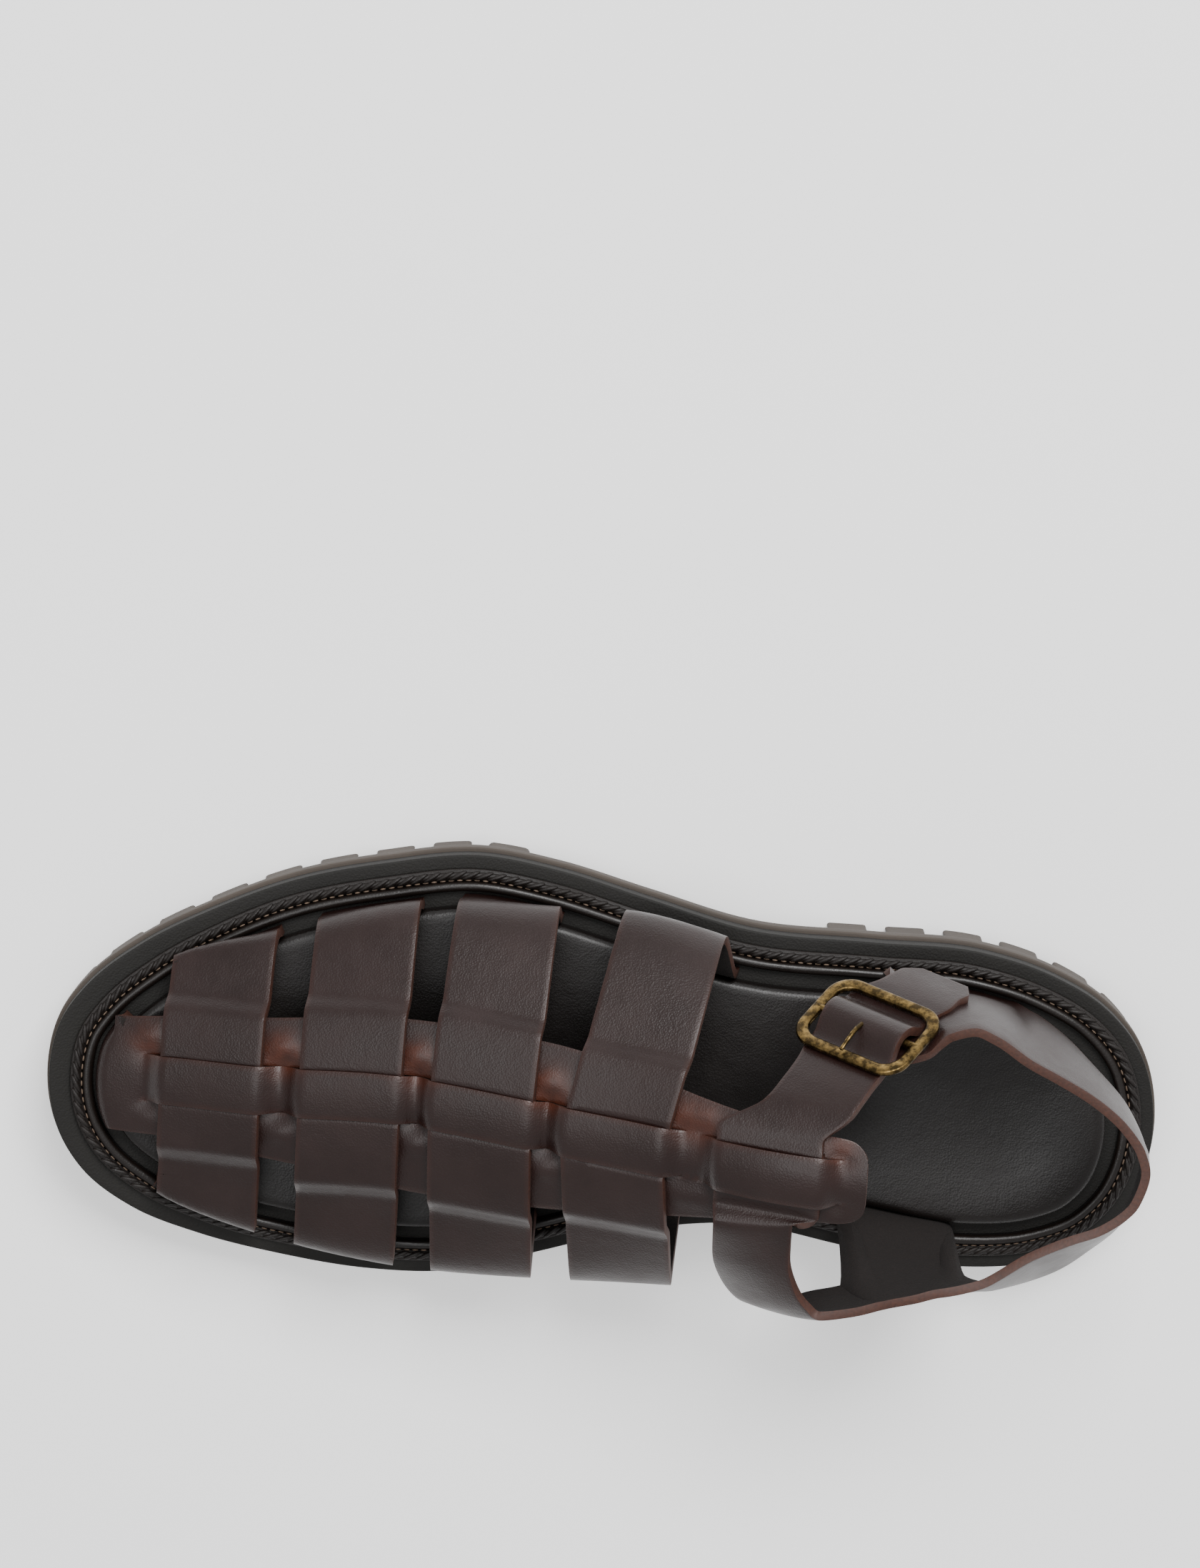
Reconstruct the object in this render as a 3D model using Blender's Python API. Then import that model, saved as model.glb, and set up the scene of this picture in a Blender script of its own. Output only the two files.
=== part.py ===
"""A flat leather fisherman sandal for the right foot, in metres, +Z up.

+X runs from heel to toe, -Y is the lateral side (the buckle side) and +Y the medial side.
Lengths are first worked out from the rear of the sole, and the whole shoe is then set with
the middle of its sole over the origin. Every wall is built from the outer face of its leather.
"""

import functools
import math

import bmesh
import bpy
import numpy as np
from mathutils import Vector

MM = 0.001

# Driving sizes
SOLE_LENGTH = 300 * MM
BALL_WIDTH = 118.5 * MM
INSTEP_HEIGHT = 85 * MM
HEEL_HEIGHT = 70 * MM
LEATHER = 2.4 * MM
CLEARANCE = 0.35 * MM

# The sole's layers, from the ground up
LUG_DEPTH = 6 * MM
HEEL_LUG_EXTRA = 2 * MM
OUTSOLE_BASE = 4.5 * MM
MIDSOLE_THICKNESS = 5.5 * MM
HEEL_LAYER_EXTRA = 0.5 * MM
TOE_SPRING = 9 * MM
EDGE_ROUND = 0.8 * MM
LUG_PITCH = 15.5 * MM
LUG_NOTCH = 4 * MM
LUG_REACH = 16 * MM
LUG_SINK = 0.7 * MM
STUD_LENGTH = 11 * MM
STUD_WIDTH = 14 * MM

# How far each line round the sole lies inside the outsole's edge
MIDSOLE_INSET = 1 * MM
WELT_INSET = 4.5 * MM
TOE_MARGIN = 2.2 * MM
WELT_WIDTH = 3 * MM
WELT_THICKNESS = 1.6 * MM
BRAID_WIDTH = 2.2 * MM
BRAID_HEIGHT = 1.3 * MM
RAND_WIDTH = 2.7 * MM
RAND_HEIGHT = 3 * MM
SLOT_HEIGHT = 3.8 * MM
INSOLE_THICKNESS = 5.4 * MM
INSOLE_ROUND = 2 * MM
HEEL_CUP = 1.6 * MM

# The straps
STRAP_WIDTH = 27 * MM
BAND_WIDTH = 12.8 * MM
BAND_STEP = 0.8 * MM
BUCKLE_STRAP_WIDTH = 24 * MM
WEAVE_SINK = 0.3 * MM
WEAVE_RAMP = 4 * MM

# The buckle
BUCKLE_LENGTH = 34.5 * MM
BUCKLE_WIDTH = 26 * MM
BUCKLE_BAND = 3.2 * MM
BUCKLE_THICKNESS = 2 * MM
BUCKLE_CORNER = 7 * MM
BAR_RADIUS = 1.05 * MM
PRONG_WIDTH = 1.7 * MM
BAND_DROP = 2.75 * MM

RING_STATIONS = 32
LATERAL, MEDIAL = -1, 1

# The outsole's edge: along as a share of the sole's length, the sides as shares of the ball width
REAR_END = (0.0, 0.013)
TOE_END = (1.0, -0.008)
OUTLINE = (
    # along, lateral, medial
    (0.020, 0.181, 0.207),
    (0.053, 0.272, 0.297),
    (0.100, 0.338, 0.349),
    (0.167, 0.386, 0.370),
    (0.267, 0.397, 0.338),
    (0.373, 0.408, 0.297),
    (0.467, 0.467, 0.329),
    (0.550, 0.522, 0.391),
    (0.620, 0.547, 0.444),
    (0.707, 0.517, 0.452),
    (0.787, 0.468, 0.426),
    (0.860, 0.392, 0.383),
    (0.920, 0.311, 0.324),
    (0.967, 0.215, 0.233),
    (0.990, 0.131, 0.139),
)

# The outer face of the straps over the foot. Along is a share of the sole's length, the ridge's
# height a share of the instep height, and the rest are shares of the ball width
LAST = (
    # along, ridge across, ridge height, lateral side, medial side
    (0.270, 0.035, 1.000, 0.354, 0.340),
    (0.337, 0.029, 0.953, 0.380, 0.358),
    (0.417, 0.015, 0.853, 0.435, 0.376),
    (0.480, 0.002, 0.776, 0.464, 0.384),
    (0.547, -0.012, 0.712, 0.460, 0.392),
    (0.680, -0.037, 0.588, 0.447, 0.392),
    (0.797, -0.023, 0.488, 0.363, 0.346),
    (0.887, -0.020, 0.400, 0.291, 0.274),
    (0.927, -0.014, 0.368, 0.228, 0.211),
    (0.960, -0.012, 0.340, 0.160, 0.143),
)
SHOULDER_ACROSS = 0.64
SHOULDER_DROP = 0.2
LATERAL_SIDE_HEIGHT = 0.36
MEDIAL_SIDE_HEIGHT = 0.48

# The centre strap's half widths, as shares of the ball width
CENTRE_STRAP = (
    # along, lateral, medial
    (0.273, 0.060, 0.060),
    (0.285, 0.098, 0.096),
    (0.330, 0.106, 0.110),
    (0.393, 0.127, 0.139),
    (0.540, 0.186, 0.203),
    (0.667, 0.181, 0.224),
    (0.787, 0.165, 0.169),
    (0.900, 0.142, 0.135),
    (0.950, 0.137, 0.127),
)
TOE_FOLD = 0.938

# The four straps across the foot: the middle of each, as shares of the sole's length
CROSS_STRAPS = (
    # name, at the lateral edge, at the ridge, at the medial edge
    ("first", 0.840, 0.848, 0.853),
    ("second", 0.714, 0.723, 0.727),
    ("third", 0.587, 0.607, 0.598),
    ("fourth", 0.426, 0.491, 0.466),
)
FIFTH_CROSSING = 0.355

# The ankle band, from the fifth crossing down the medial side, round the heel and up to the
# buckle. Along is a share of the sole's length, across of the ball width and height of the
# heel height. A lower height of 0 is in the slot beside the insole
ANKLE_BAND = (
    # upper edge: along, across, height; lower edge: along, across, height; belly
    (0.334, 0.135, 1.164, 0.402, 0.143, 1.100, 0.004),
    (0.335, 0.228, 1.100, 0.400, 0.236, 0.986, 0.008),
    (0.327, 0.308, 1.043, 0.388, 0.325, 0.857, 0.010),
    (0.316, 0.350, 1.021, 0.368, 0.380, 0.786, 0.010),
    (0.303, 0.374, 1.014, 0.343, 0.395, 0.757, 0.006),
    (0.273, 0.361, 1.014, 0.310, 0.374, 0.743, 0.004),
    (0.250, 0.343, 1.014, 0.277, 0.346, 0.729, 0.004),
    (0.240, 0.336, 1.014, 0.277, 0.000, 0.000, 0.030),
    (0.220, 0.325, 1.007, 0.230, 0.000, 0.000, 0.028),
    (0.202, 0.312, 1.000, 0.187, 0.000, 0.000, 0.024),
    (0.190, 0.306, 1.000, 0.178, 0.321, 0.714, 0.004),
    (0.163, 0.285, 1.000, 0.153, 0.338, 0.714, 0.004),
    (0.121, 0.215, 1.000, 0.094, 0.287, 0.714, 0.004),
    (0.090, 0.177, 1.000, 0.065, 0.230, 0.729, 0.004),
    (0.061, 0.147, 1.000, 0.042, 0.173, 0.743, 0.004),
    (0.032, 0.081, 1.000, 0.025, 0.097, 0.757, 0.004),
    (0.024, 0.008, 1.000, 0.019, 0.013, 0.757, 0.004),
    (0.029, -0.040, 1.000, 0.025, -0.034, 0.750, 0.004),
    (0.047, -0.103, 1.000, 0.041, -0.108, 0.714, 0.004),
    (0.075, -0.160, 1.000, 0.068, -0.177, 0.643, 0.004),
    (0.107, -0.205, 1.000, 0.097, -0.235, 0.514, 0.006),
    (0.133, -0.238, 1.000, 0.122, -0.266, 0.414, 0.008),
    (0.162, -0.285, 1.000, 0.140, 0.000, 0.000, 0.020),
    (0.183, -0.305, 1.000, 0.183, 0.000, 0.000, 0.024),
    (0.200, -0.295, 1.000, 0.220, 0.000, 0.000, 0.026),
    (0.210, -0.281, 0.993, 0.245, 0.000, 0.000, 0.026),
    (0.217, -0.262, 0.998, 0.253, -0.363, 0.486, 0.020),
)
# The band's end under the buckle, in the buckle's own plane: ways across the strap as shares of
# the buckle's length, ways down the strap as shares of its width
BAND_END = (
    # upper edge: across, down; lower edge: across, down
    (0.507, 0.080, -0.116, 0.580),
    (0.406, -0.080, -0.200, 0.310),
    (0.290, -0.230, -0.275, 0.080),
)

# The buckle strap beyond the fifth crossing, as the middle of its outer face. The turn is 0 at
# the crossing and 1 where the strap lies flat with the buckle
BUCKLE_STRAP = (
    # along, across, height as a share of the heel height, half width as a share of the width, turn
    (0.329, -0.120, 1.133, 0.490, 0.35),
    (0.315, -0.163, 1.090, 0.475, 0.70),
    (0.304, -0.198, 1.037, 0.480, 0.95),
)
STRAP_END = (
    (0.235, -0.340, 0.750, 0.470, 1),
    (0.224, -0.352, 0.693, 0.440, 1),
    (0.214, -0.358, 0.643, 0.430, 1),
    (0.206, -0.362, 0.607, 0.300, 1),
)
# The buckle's middle, the way across the strap and the way along the strap to its tip
BUCKLE_PLACE = (0.276, -0.281, 0.900)
BUCKLE_ACROSS = (-0.80, 0.17, 0.57)
BUCKLE_ALONG = (-0.57, -0.52, -0.64)


def smooth_through(points, steps, closed=False):
    """A curve through the points, each span cut into steps. Its slope at a point is that of the
    chord between its neighbours, shared out by their distances."""
    points = np.asarray(points, float)
    if closed:
        points = np.concatenate([points[-1:], points, points[:2]])
    else:
        points = np.concatenate([2 * points[:1] - points[1:2], points, 2 * points[-1:] - points[-2:-1]])
    gaps = np.linalg.norm(np.diff(points, axis=0), axis=1)[:, None]
    chords = np.diff(points, axis=0) / gaps
    slopes = (chords[:-1] * gaps[1:] + chords[1:] * gaps[:-1]) / (gaps[:-1] + gaps[1:])
    share = (np.arange(steps) / steps)[None, :, None]
    start, end = points[1:-2, None], points[2:-1, None]
    span = gaps[1:-1, None]
    curve = (
        start * (2 * share**3 - 3 * share**2 + 1)
        + end * (3 * share**2 - 2 * share**3)
        + slopes[:-1, None] * span * (share**3 - 2 * share**2 + share)
        + slopes[1:, None] * span * (share**3 - share**2)
    ).reshape(-1, points.shape[1])
    return curve if closed else np.concatenate([curve, points[-2:-1]])


def smoothstep(low, high, value):
    share = np.clip((value - low) / (high - low), 0, 1)
    return share * share * (3 - 2 * share)


def shares(along, across):
    return along * SOLE_LENGTH, across * BALL_WIDTH


@functools.lru_cache(maxsize=None)
def edge_loop(inset):
    """The outsole's edge drawn in by inset, as points from the rear along the lateral side."""
    lateral = [shares(along, -side) for along, side, _ in OUTLINE]
    medial = [shares(along, side) for along, _, side in reversed(OUTLINE)]
    loop = smooth_through([shares(*REAR_END), *lateral, shares(*TOE_END), *medial], 12, closed=True)
    ahead = np.roll(loop, -1, axis=0) - np.roll(loop, 1, axis=0)
    ahead /= np.linalg.norm(ahead, axis=1)[:, None]
    inward = np.stack([-ahead[:, 1], ahead[:, 0]], axis=1)
    margin = TOE_MARGIN * smoothstep(0.8 * SOLE_LENGTH, SOLE_LENGTH, loop[:, :1])
    return loop + (inset + (margin if inset >= WELT_INSET else 0)) * inward


def edge_across(along, inset, side):
    """How far across the drawn-in edge lies at this length, on one side."""
    loop = edge_loop(inset)
    rear, front = loop[:, 0].argmin(), loop[:, 0].argmax()
    rear -= len(loop) if rear > front else 0
    walk = np.arange(rear, front + 1) if side == LATERAL else np.arange(rear + len(loop), front - 1, -1)
    points = loop[walk % len(loop)]
    order = np.argsort(points[:, 0])
    return np.interp(along, points[order, 0], points[order, 1])


def ring(inset):
    """Points round the drawn-in edge: the lateral and the medial row, heel to toe, meet at both ends."""
    loop = edge_loop(inset)
    rear, front = loop[:, 0].min(), loop[:, 0].max()
    along = rear + (front - rear) * (1 - np.cos(np.pi * np.arange(RING_STATIONS + 1) / RING_STATIONS)) / 2
    rows = []
    for side in (LATERAL, MEDIAL):
        across = edge_across(along, inset, side)
        across[0] = loop[loop[:, 0].argmin(), 1]
        across[-1] = loop[loop[:, 0].argmax(), 1]
        rows.append(np.stack([along, across], axis=1))
    return np.concatenate([rows[0], rows[1][-2:0:-1]])


def heel_share(along):
    """1 under the heel, 0 from the ball forwards."""
    return 1 - smoothstep(0.22 * SOLE_LENGTH, 0.62 * SOLE_LENGTH, along)


def spring(along):
    """The rise of the sole towards the toe."""
    start = 0.72 * SOLE_LENGTH
    return TOE_SPRING * np.clip((along - start) / (SOLE_LENGTH - start), 0, None) ** 2


def tread_top(along):
    return LUG_DEPTH + HEEL_LUG_EXTRA * heel_share(along) + spring(along)


def outsole_top(along):
    return tread_top(along) + OUTSOLE_BASE + HEEL_LAYER_EXTRA * heel_share(along)


def midsole_bottom(along):
    return outsole_top(along) + CLEARANCE


def sole_top(along):
    return outsole_top(along) + MIDSOLE_THICKNESS + HEEL_LAYER_EXTRA * heel_share(along)


def new_object(name, verts, faces, material):
    """A mesh object whose faces all point out, with its points moved from the heel to the middle."""
    loop = edge_loop(0)
    middle = np.array([SOLE_LENGTH / 2, (loop[:, 1].min() + loop[:, 1].max()) / 2, 0])
    mesh = bpy.data.meshes.new(name)
    mesh.from_pydata((np.asarray(verts) - middle).tolist(), [], faces)
    work = bmesh.new()
    work.from_mesh(mesh)
    bmesh.ops.recalc_face_normals(work, faces=work.faces)
    work.to_mesh(mesh)
    work.free()
    obj = bpy.data.objects.new(name, mesh)
    bpy.context.scene.collection.objects.link(obj)
    if material:
        mesh.materials.append(material)
    return obj


def shade(obj, angle=35):
    obj.data.shade_smooth()
    obj.data.set_sharp_from_angle(angle=math.radians(angle))


def material(name, colour, roughness, metallic=0.0):
    made = bpy.data.materials.new(name)
    made.use_nodes = True
    made.diffuse_color = (*colour, 1)
    shader = made.node_tree.nodes["Principled BSDF"]
    shader.inputs["Base Color"].default_value = (*colour, 1)
    shader.inputs["Roughness"].default_value = roughness
    shader.inputs["Metallic"].default_value = metallic
    return made


def layer_mesh(levels):
    """A closed layer of the sole from its levels, each an inset and a height as a function of length."""
    verts, faces = [], []
    count = 2 * RING_STATIONS
    for inset, height in levels:
        points = ring(inset)
        verts += [(x, y, height(x)) for x, y in points]
    for level in range(len(levels) - 1):
        low = level * count
        for k in range(count):
            after = (k + 1) % count
            faces.append((low + k, low + after, low + count + after, low + count + k))
    for start in (0, (len(levels) - 1) * count):
        faces.append((start, start + 1, start + count - 1))
        for k in range(1, RING_STATIONS - 1):
            faces.append((start + k, start + k + 1, start + count - k - 1, start + count - k))
        faces.append((start + RING_STATIONS - 1, start + RING_STATIONS, start + RING_STATIONS + 1))
    return verts, faces


def trim_mesh(profile):
    """A closed trim round the sole from its profile, each point an inset and a height over the midsole."""
    verts, faces = [], []
    count = 2 * RING_STATIONS
    for inset, rise in profile:
        verts += [(x, y, sole_top(x) + rise) for x, y in ring(inset)]
    for level in range(len(profile)):
        low, high = level * count, (level + 1) % len(profile) * count
        for k in range(count):
            after = (k + 1) % count
            faces.append((low + k, low + after, high + after, high + k))
    return verts, faces


def join(target, others):
    """Joins the others to the target by a Boolean union, then takes them away."""
    for other in others:
        union = target.modifiers.new("join", "BOOLEAN")
        union.operation = "UNION"
        union.object = other
        apply_modifiers(target)
        bpy.data.objects.remove(other)


def cut(target, cutter):
    difference = target.modifiers.new("cut", "BOOLEAN")
    difference.operation = "DIFFERENCE"
    difference.object = cutter
    apply_modifiers(target)
    bpy.data.objects.remove(cutter)


def keep_largest(obj):
    """Takes away the flat slivers that a Boolean can leave beside the body."""
    work = bmesh.new()
    work.from_mesh(obj.data)
    islands, seen = [], set()
    for start in work.faces:
        if start in seen:
            continue
        island, front = [], [start]
        seen.add(start)
        while front:
            face = front.pop()
            island.append(face)
            for edge in face.edges:
                for other in edge.link_faces:
                    if other not in seen:
                        seen.add(other)
                        front.append(other)
        islands.append(island)
    islands.sort(key=len)
    strays = [face for island in islands[:-1] for face in island]
    bmesh.ops.delete(work, geom=strays, context="FACES")
    work.to_mesh(obj.data)
    work.free()


def apply_modifiers(obj):
    graph = bpy.context.evaluated_depsgraph_get()
    mesh = bpy.data.meshes.new_from_object(obj.evaluated_get(graph))
    obj.modifiers.clear()
    old = obj.data
    mesh.name = old.name
    obj.data = mesh
    bpy.data.meshes.remove(old)


def prism(name, plan, bottom, top):
    """An upright solid over a plan of (x, y) points, between two heights as functions of length."""
    count = len(plan)
    verts = [(x, y, bottom(x)) for x, y in plan] + [(x, y, top(x)) for x, y in plan]
    faces = [tuple(range(count)), tuple(range(count, 2 * count))]
    faces += [(k, (k + 1) % count, count + (k + 1) % count, count + k) for k in range(count)]
    return new_object(name, verts, faces, None)


def lug_plans(start, end):
    """Plans of the lugs round the edge, where it lies between two lengths of the sole."""
    outer = edge_loop(EDGE_ROUND / 2)
    inner = edge_loop(LUG_REACH)
    inside = (outer[:, 0] > start) & (outer[:, 0] < end)
    first = np.flatnonzero(inside & ~np.roll(inside, 1))[0]
    walk = (first + np.arange(inside.sum())) % len(outer)
    way = np.concatenate([[0], np.cumsum(np.linalg.norm(np.diff(outer[walk], axis=0), axis=1))])
    count = round(way[-1] / LUG_PITCH)
    pitch = (way[-1] + LUG_NOTCH) / count
    for k in range(count):
        at = k * pitch + np.linspace(0, pitch - LUG_NOTCH, 4)
        outside = [[np.interp(s, way, line[walk][:, axis]) for axis in (0, 1)] for line in (outer,) for s in at]
        within = [[np.interp(s, way, line[walk][:, axis]) for axis in (0, 1)] for line in (inner,) for s in at[[3, 0]]]
        yield outside + within


def ground_or_spring(along):
    return float(spring(along))


def into_base(along):
    return float(tread_top(along)) + LUG_SINK


def stud_rows(start, end):
    """Plans of the lozenge studs inside the lugs: rows of one and of two by turns."""
    reach = LUG_REACH + LUG_NOTCH
    rows = int((end - start) / (STUD_LENGTH + LUG_NOTCH / 2))
    for row in range(rows):
        along = start + (row + 0.5) * (end - start) / rows
        low = edge_across(along, reach, LATERAL)
        high = edge_across(along, reach, MEDIAL)
        middle = (low + high) / 2
        pair = STUD_WIDTH / 2 + LUG_NOTCH / 2
        places = (middle,) if row % 2 == 0 else (middle - pair, middle + pair)
        for across in places:
            half = min(STUD_WIDTH / 2, across - low, high - across)
            if half > STUD_WIDTH / 5:
                long = STUD_LENGTH / 2
                corner = 0.3
                yield [
                    (along - long, across - corner * half),
                    (along, across - half),
                    (along + long, across - corner * half),
                    (along + long, across + corner * half),
                    (along, across + half),
                    (along - long, across + corner * half),
                ]


def make_outsole():
    """The rubber outsole: a base plate with lugs round the edge and lozenge studs between them."""
    rubber = material("Grey-brown rubber", (0.078, 0.064, 0.053), 0.7)
    levels = (
        (EDGE_ROUND, tread_top),
        (0, lambda x: tread_top(x) + EDGE_ROUND),
        (0, lambda x: outsole_top(x) - EDGE_ROUND / 2),
        (EDGE_ROUND / 2, outsole_top),
    )
    outsole = new_object("outsole", *layer_mesh(levels), rubber)
    heel_breast, forefoot_start = 0.31 * SOLE_LENGTH, 0.575 * SOLE_LENGTH
    forefoot = list(lug_plans(forefoot_start, 1.1 * SOLE_LENGTH))
    heel = list(lug_plans(-0.1 * SOLE_LENGTH, heel_breast))
    studs = list(stud_rows(forefoot_start, 0.93 * SOLE_LENGTH))
    studs += list(stud_rows(0.075 * SOLE_LENGTH, heel_breast))
    lugs = [prism("lug", plan, ground_or_spring, into_base) for plan in forefoot + heel + studs]
    join(outsole, lugs)
    keep_largest(outsole)
    shade(outsole)


def make_midsole():
    """The black midsole that shows outside the welt."""
    black = material("Black midsole", (0.014, 0.013, 0.012), 0.75)
    levels = (
        (MIDSOLE_INSET, midsole_bottom),
        (MIDSOLE_INSET, lambda x: sole_top(x) - EDGE_ROUND),
        (MIDSOLE_INSET + EDGE_ROUND, sole_top),
    )
    shade(new_object("midsole", *layer_mesh(levels), black))


def make_welt():
    """The storm welt: a flat strip with a braided ridge, drawn here as one raised rib."""
    leather = material("Dark welt", (0.016, 0.011, 0.009), 0.55)
    outer, inner = WELT_INSET, WELT_INSET + WELT_WIDTH
    rib = inner - 0.2 * MM - BRAID_WIDTH / 2
    top = WELT_THICKNESS
    profile = [(outer, CLEARANCE), (outer, top - 0.3 * MM), (outer + 0.3 * MM, top)]
    for step in range(5):
        turn = math.pi * step / 4
        profile.append((rib - BRAID_WIDTH / 2 * math.cos(turn), top + BRAID_HEIGHT * math.sin(turn)))
    profile += [(inner, top), (inner, CLEARANCE)]
    shade(new_object("welt", *trim_mesh(profile), leather), 60)


def make_rand():
    """The rolled leather rand between the welt and the straps."""
    leather = material("Black-brown rand", (0.014, 0.011, 0.010), 0.4)
    outer = WELT_INSET + WELT_WIDTH + CLEARANCE
    middle = outer + RAND_WIDTH / 2
    shoulder = RAND_HEIGHT - RAND_WIDTH / 2
    profile = [(outer, CLEARANCE)]
    for step in range(6):
        turn = math.pi * step / 5
        profile.append((middle - RAND_WIDTH / 2 * math.cos(turn), shoulder + RAND_WIDTH / 2 * math.sin(turn)))
    profile.append((outer + RAND_WIDTH, CLEARANCE))
    shade(new_object("rand", *trim_mesh(profile), leather), 60)


def slot_inset():
    """Where the outer face of a strap goes down beside the rand."""
    return WELT_INSET + WELT_WIDTH + RAND_WIDTH + 3.5 * CLEARANCE


def insole_inset():
    return slot_inset() + LEATHER + 2 * CLEARANCE


def make_insole():
    """The padded, leather-covered insole, a little cupped at the heel."""
    leather = material("Black-brown insole", (0.012, 0.010, 0.009), 0.45)

    def level(inset, rise, cup):
        def height(along):
            heel = 1 - smoothstep(0.1 * SOLE_LENGTH, 0.4 * SOLE_LENGTH, along)
            return sole_top(along) + rise + cup * HEEL_CUP * heel

        return insole_inset() + inset, height

    levels = (
        level(INSOLE_ROUND / 4, CLEARANCE, 0),
        level(0, INSOLE_ROUND / 2, 0),
        level(0, INSOLE_THICKNESS - INSOLE_ROUND, 0.6),
        level(0.3 * INSOLE_ROUND, INSOLE_THICKNESS - 0.3 * INSOLE_ROUND, 0.9),
        level(INSOLE_ROUND, INSOLE_THICKNESS, 1),
        level(3.5 * INSOLE_ROUND, INSOLE_THICKNESS - 0.2 * MM, 0.4),
        level(6 * INSOLE_ROUND, INSOLE_THICKNESS - 0.5 * MM, 0),
    )
    shade(new_object("insole", *layer_mesh(levels), leather))


def last_values(along):
    """The ridge and the sides of the straps over the foot at this length."""
    table = np.array(LAST)
    share = along / SOLE_LENGTH
    curve = smooth_through(table, 8)
    ridge, height, lateral, medial = (np.interp(share, curve[:, 0], curve[:, k]) for k in (1, 2, 3, 4))
    return ridge * BALL_WIDTH, height * INSTEP_HEIGHT, lateral * BALL_WIDTH, medial * BALL_WIDTH


@functools.lru_cache(maxsize=None)
def section(along):
    """The straps' outer face across the foot: way from the ridge, across and height, by length."""
    ridge, top, lateral, medial = last_values(along)
    floor = float(sole_top(along)) + 1.5 * CLEARANCE
    rise = top - floor
    half = []
    for side, reach, level in (
        (LATERAL, lateral, LATERAL_SIDE_HEIGHT),
        (MEDIAL, medial, MEDIAL_SIDE_HEIGHT),
    ):
        slot = float(edge_across(along, slot_inset(), side))
        bulge = side * max(side * slot, reach)
        half.append(
            [
                (slot, floor),
                (slot, floor + SLOT_HEIGHT),
                (bulge, max(floor + level * rise, floor + SLOT_HEIGHT + 1 * MM)),
                (ridge + SHOULDER_ACROSS * (bulge - ridge), top - SHOULDER_DROP * rise),
            ]
        )
    points = smooth_through(half[0] + [(ridge, top)] + half[1][::-1], 10)
    way = np.concatenate([[0], np.cumsum(np.linalg.norm(np.diff(points, axis=0), axis=1))])
    way -= way[len(points) // 2]
    return way, points


def on_last(along, way):
    """The point on the straps' outer face at this length and way from the ridge."""
    ways, points = section(round(float(along), 5))
    return np.array([along, np.interp(way, ways, points[:, 0]), np.interp(way, ways, points[:, 1])])


def girth(along, side):
    ways, _ = section(round(float(along), 5))
    return ways[-1] if side == MEDIAL else ways[0]


def grid_normals(grid, outward):
    """Normals of a grid of points, turned so that the middle one looks outward."""
    down = np.gradient(grid, axis=0)
    over = np.gradient(grid, axis=1)
    normals = np.cross(down, over)
    normals /= np.linalg.norm(normals, axis=2)[:, :, None]
    rows, columns = grid.shape[:2]
    if normals[rows // 2, columns // 2] @ np.asarray(outward, float) < 0:
        normals = -normals
    return normals


def slab(name, grid, outward, high=0.0, low=-LEATHER):
    """A closed sheet over a grid of points, from low to high along the grid's normals."""
    grid = np.asarray(grid, float)
    rows, columns = grid.shape[:2]
    normals = grid_normals(grid, outward)
    high = np.broadcast_to(high, (rows, columns))[:, :, None]
    low = np.broadcast_to(low, (rows, columns))[:, :, None]
    verts = np.concatenate([(grid + high * normals).reshape(-1, 3), (grid + low * normals).reshape(-1, 3)])
    half = rows * columns
    faces = []
    for i in range(rows - 1):
        for j in range(columns - 1):
            a = i * columns + j
            quad = (a, a + 1, a + columns + 1, a + columns)
            faces.append(quad)
            faces.append(tuple(half + k for k in reversed(quad)))
    border = [j for j in range(columns - 1)]
    border += [i * columns + columns - 1 for i in range(rows - 1)]
    border += [(rows - 1) * columns + j for j in range(columns - 1, 0, -1)]
    border += [i * columns for i in range(rows - 1, 0, -1)]
    for k, a in enumerate(border):
        b = border[(k + 1) % len(border)]
        faces.append((a, b, half + b, half + a))
    return new_object(name, verts, faces, None)


def centre_widths(along):
    table = smooth_through(CENTRE_STRAP, 6)
    share = along / SOLE_LENGTH
    return tuple(np.interp(share, table[:, 0], table[:, k]) * BALL_WIDTH for k in (1, 2))


def toe_front(across):
    """How far forward the slot beside the insole lies at the toe, at this distance across."""
    loop = edge_loop(slot_inset())
    loop = loop[loop[:, 0] > 0.8 * SOLE_LENGTH]
    order = np.argsort(loop[:, 1])
    return np.interp(across, loop[order, 1], loop[order, 0])


def make_centre_strap():
    """The long strap from the toe to the tail tab, flat on the last and folded down at the toe."""
    fold = TOE_FOLD * SOLE_LENGTH
    tail = CENTRE_STRAP[0][0] * SOLE_LENGTH
    alongs = [tail, tail + 1.2 * MM, *np.linspace(tail + 4 * MM, fold, 25)]
    shares_across = np.linspace(-1, 1, 7)
    grid = []
    for along in alongs:
        lateral, medial = centre_widths(along)
        grid.append([on_last(along, s * (medial if s > 0 else lateral)) for s in shares_across])
    edge = np.array(grid[-1])
    front = np.array([[toe_front(y), y, z] for _, y, z in edge])
    floor = sole_top(front[:, 0]) + 1.5 * CLEARANCE
    for reach, drop in ((0.5, 0.10), (0.82, 0.28), (0.97, 0.55), (1.0, 0.78), (1.0, 1.0)):
        row = edge + (front - edge) * reach
        row[:, 2] = edge[:, 2] + (floor - edge[:, 2]) * drop
        grid.append(row)
    return slab("centre strap", grid, (0, 0, 1))


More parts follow.
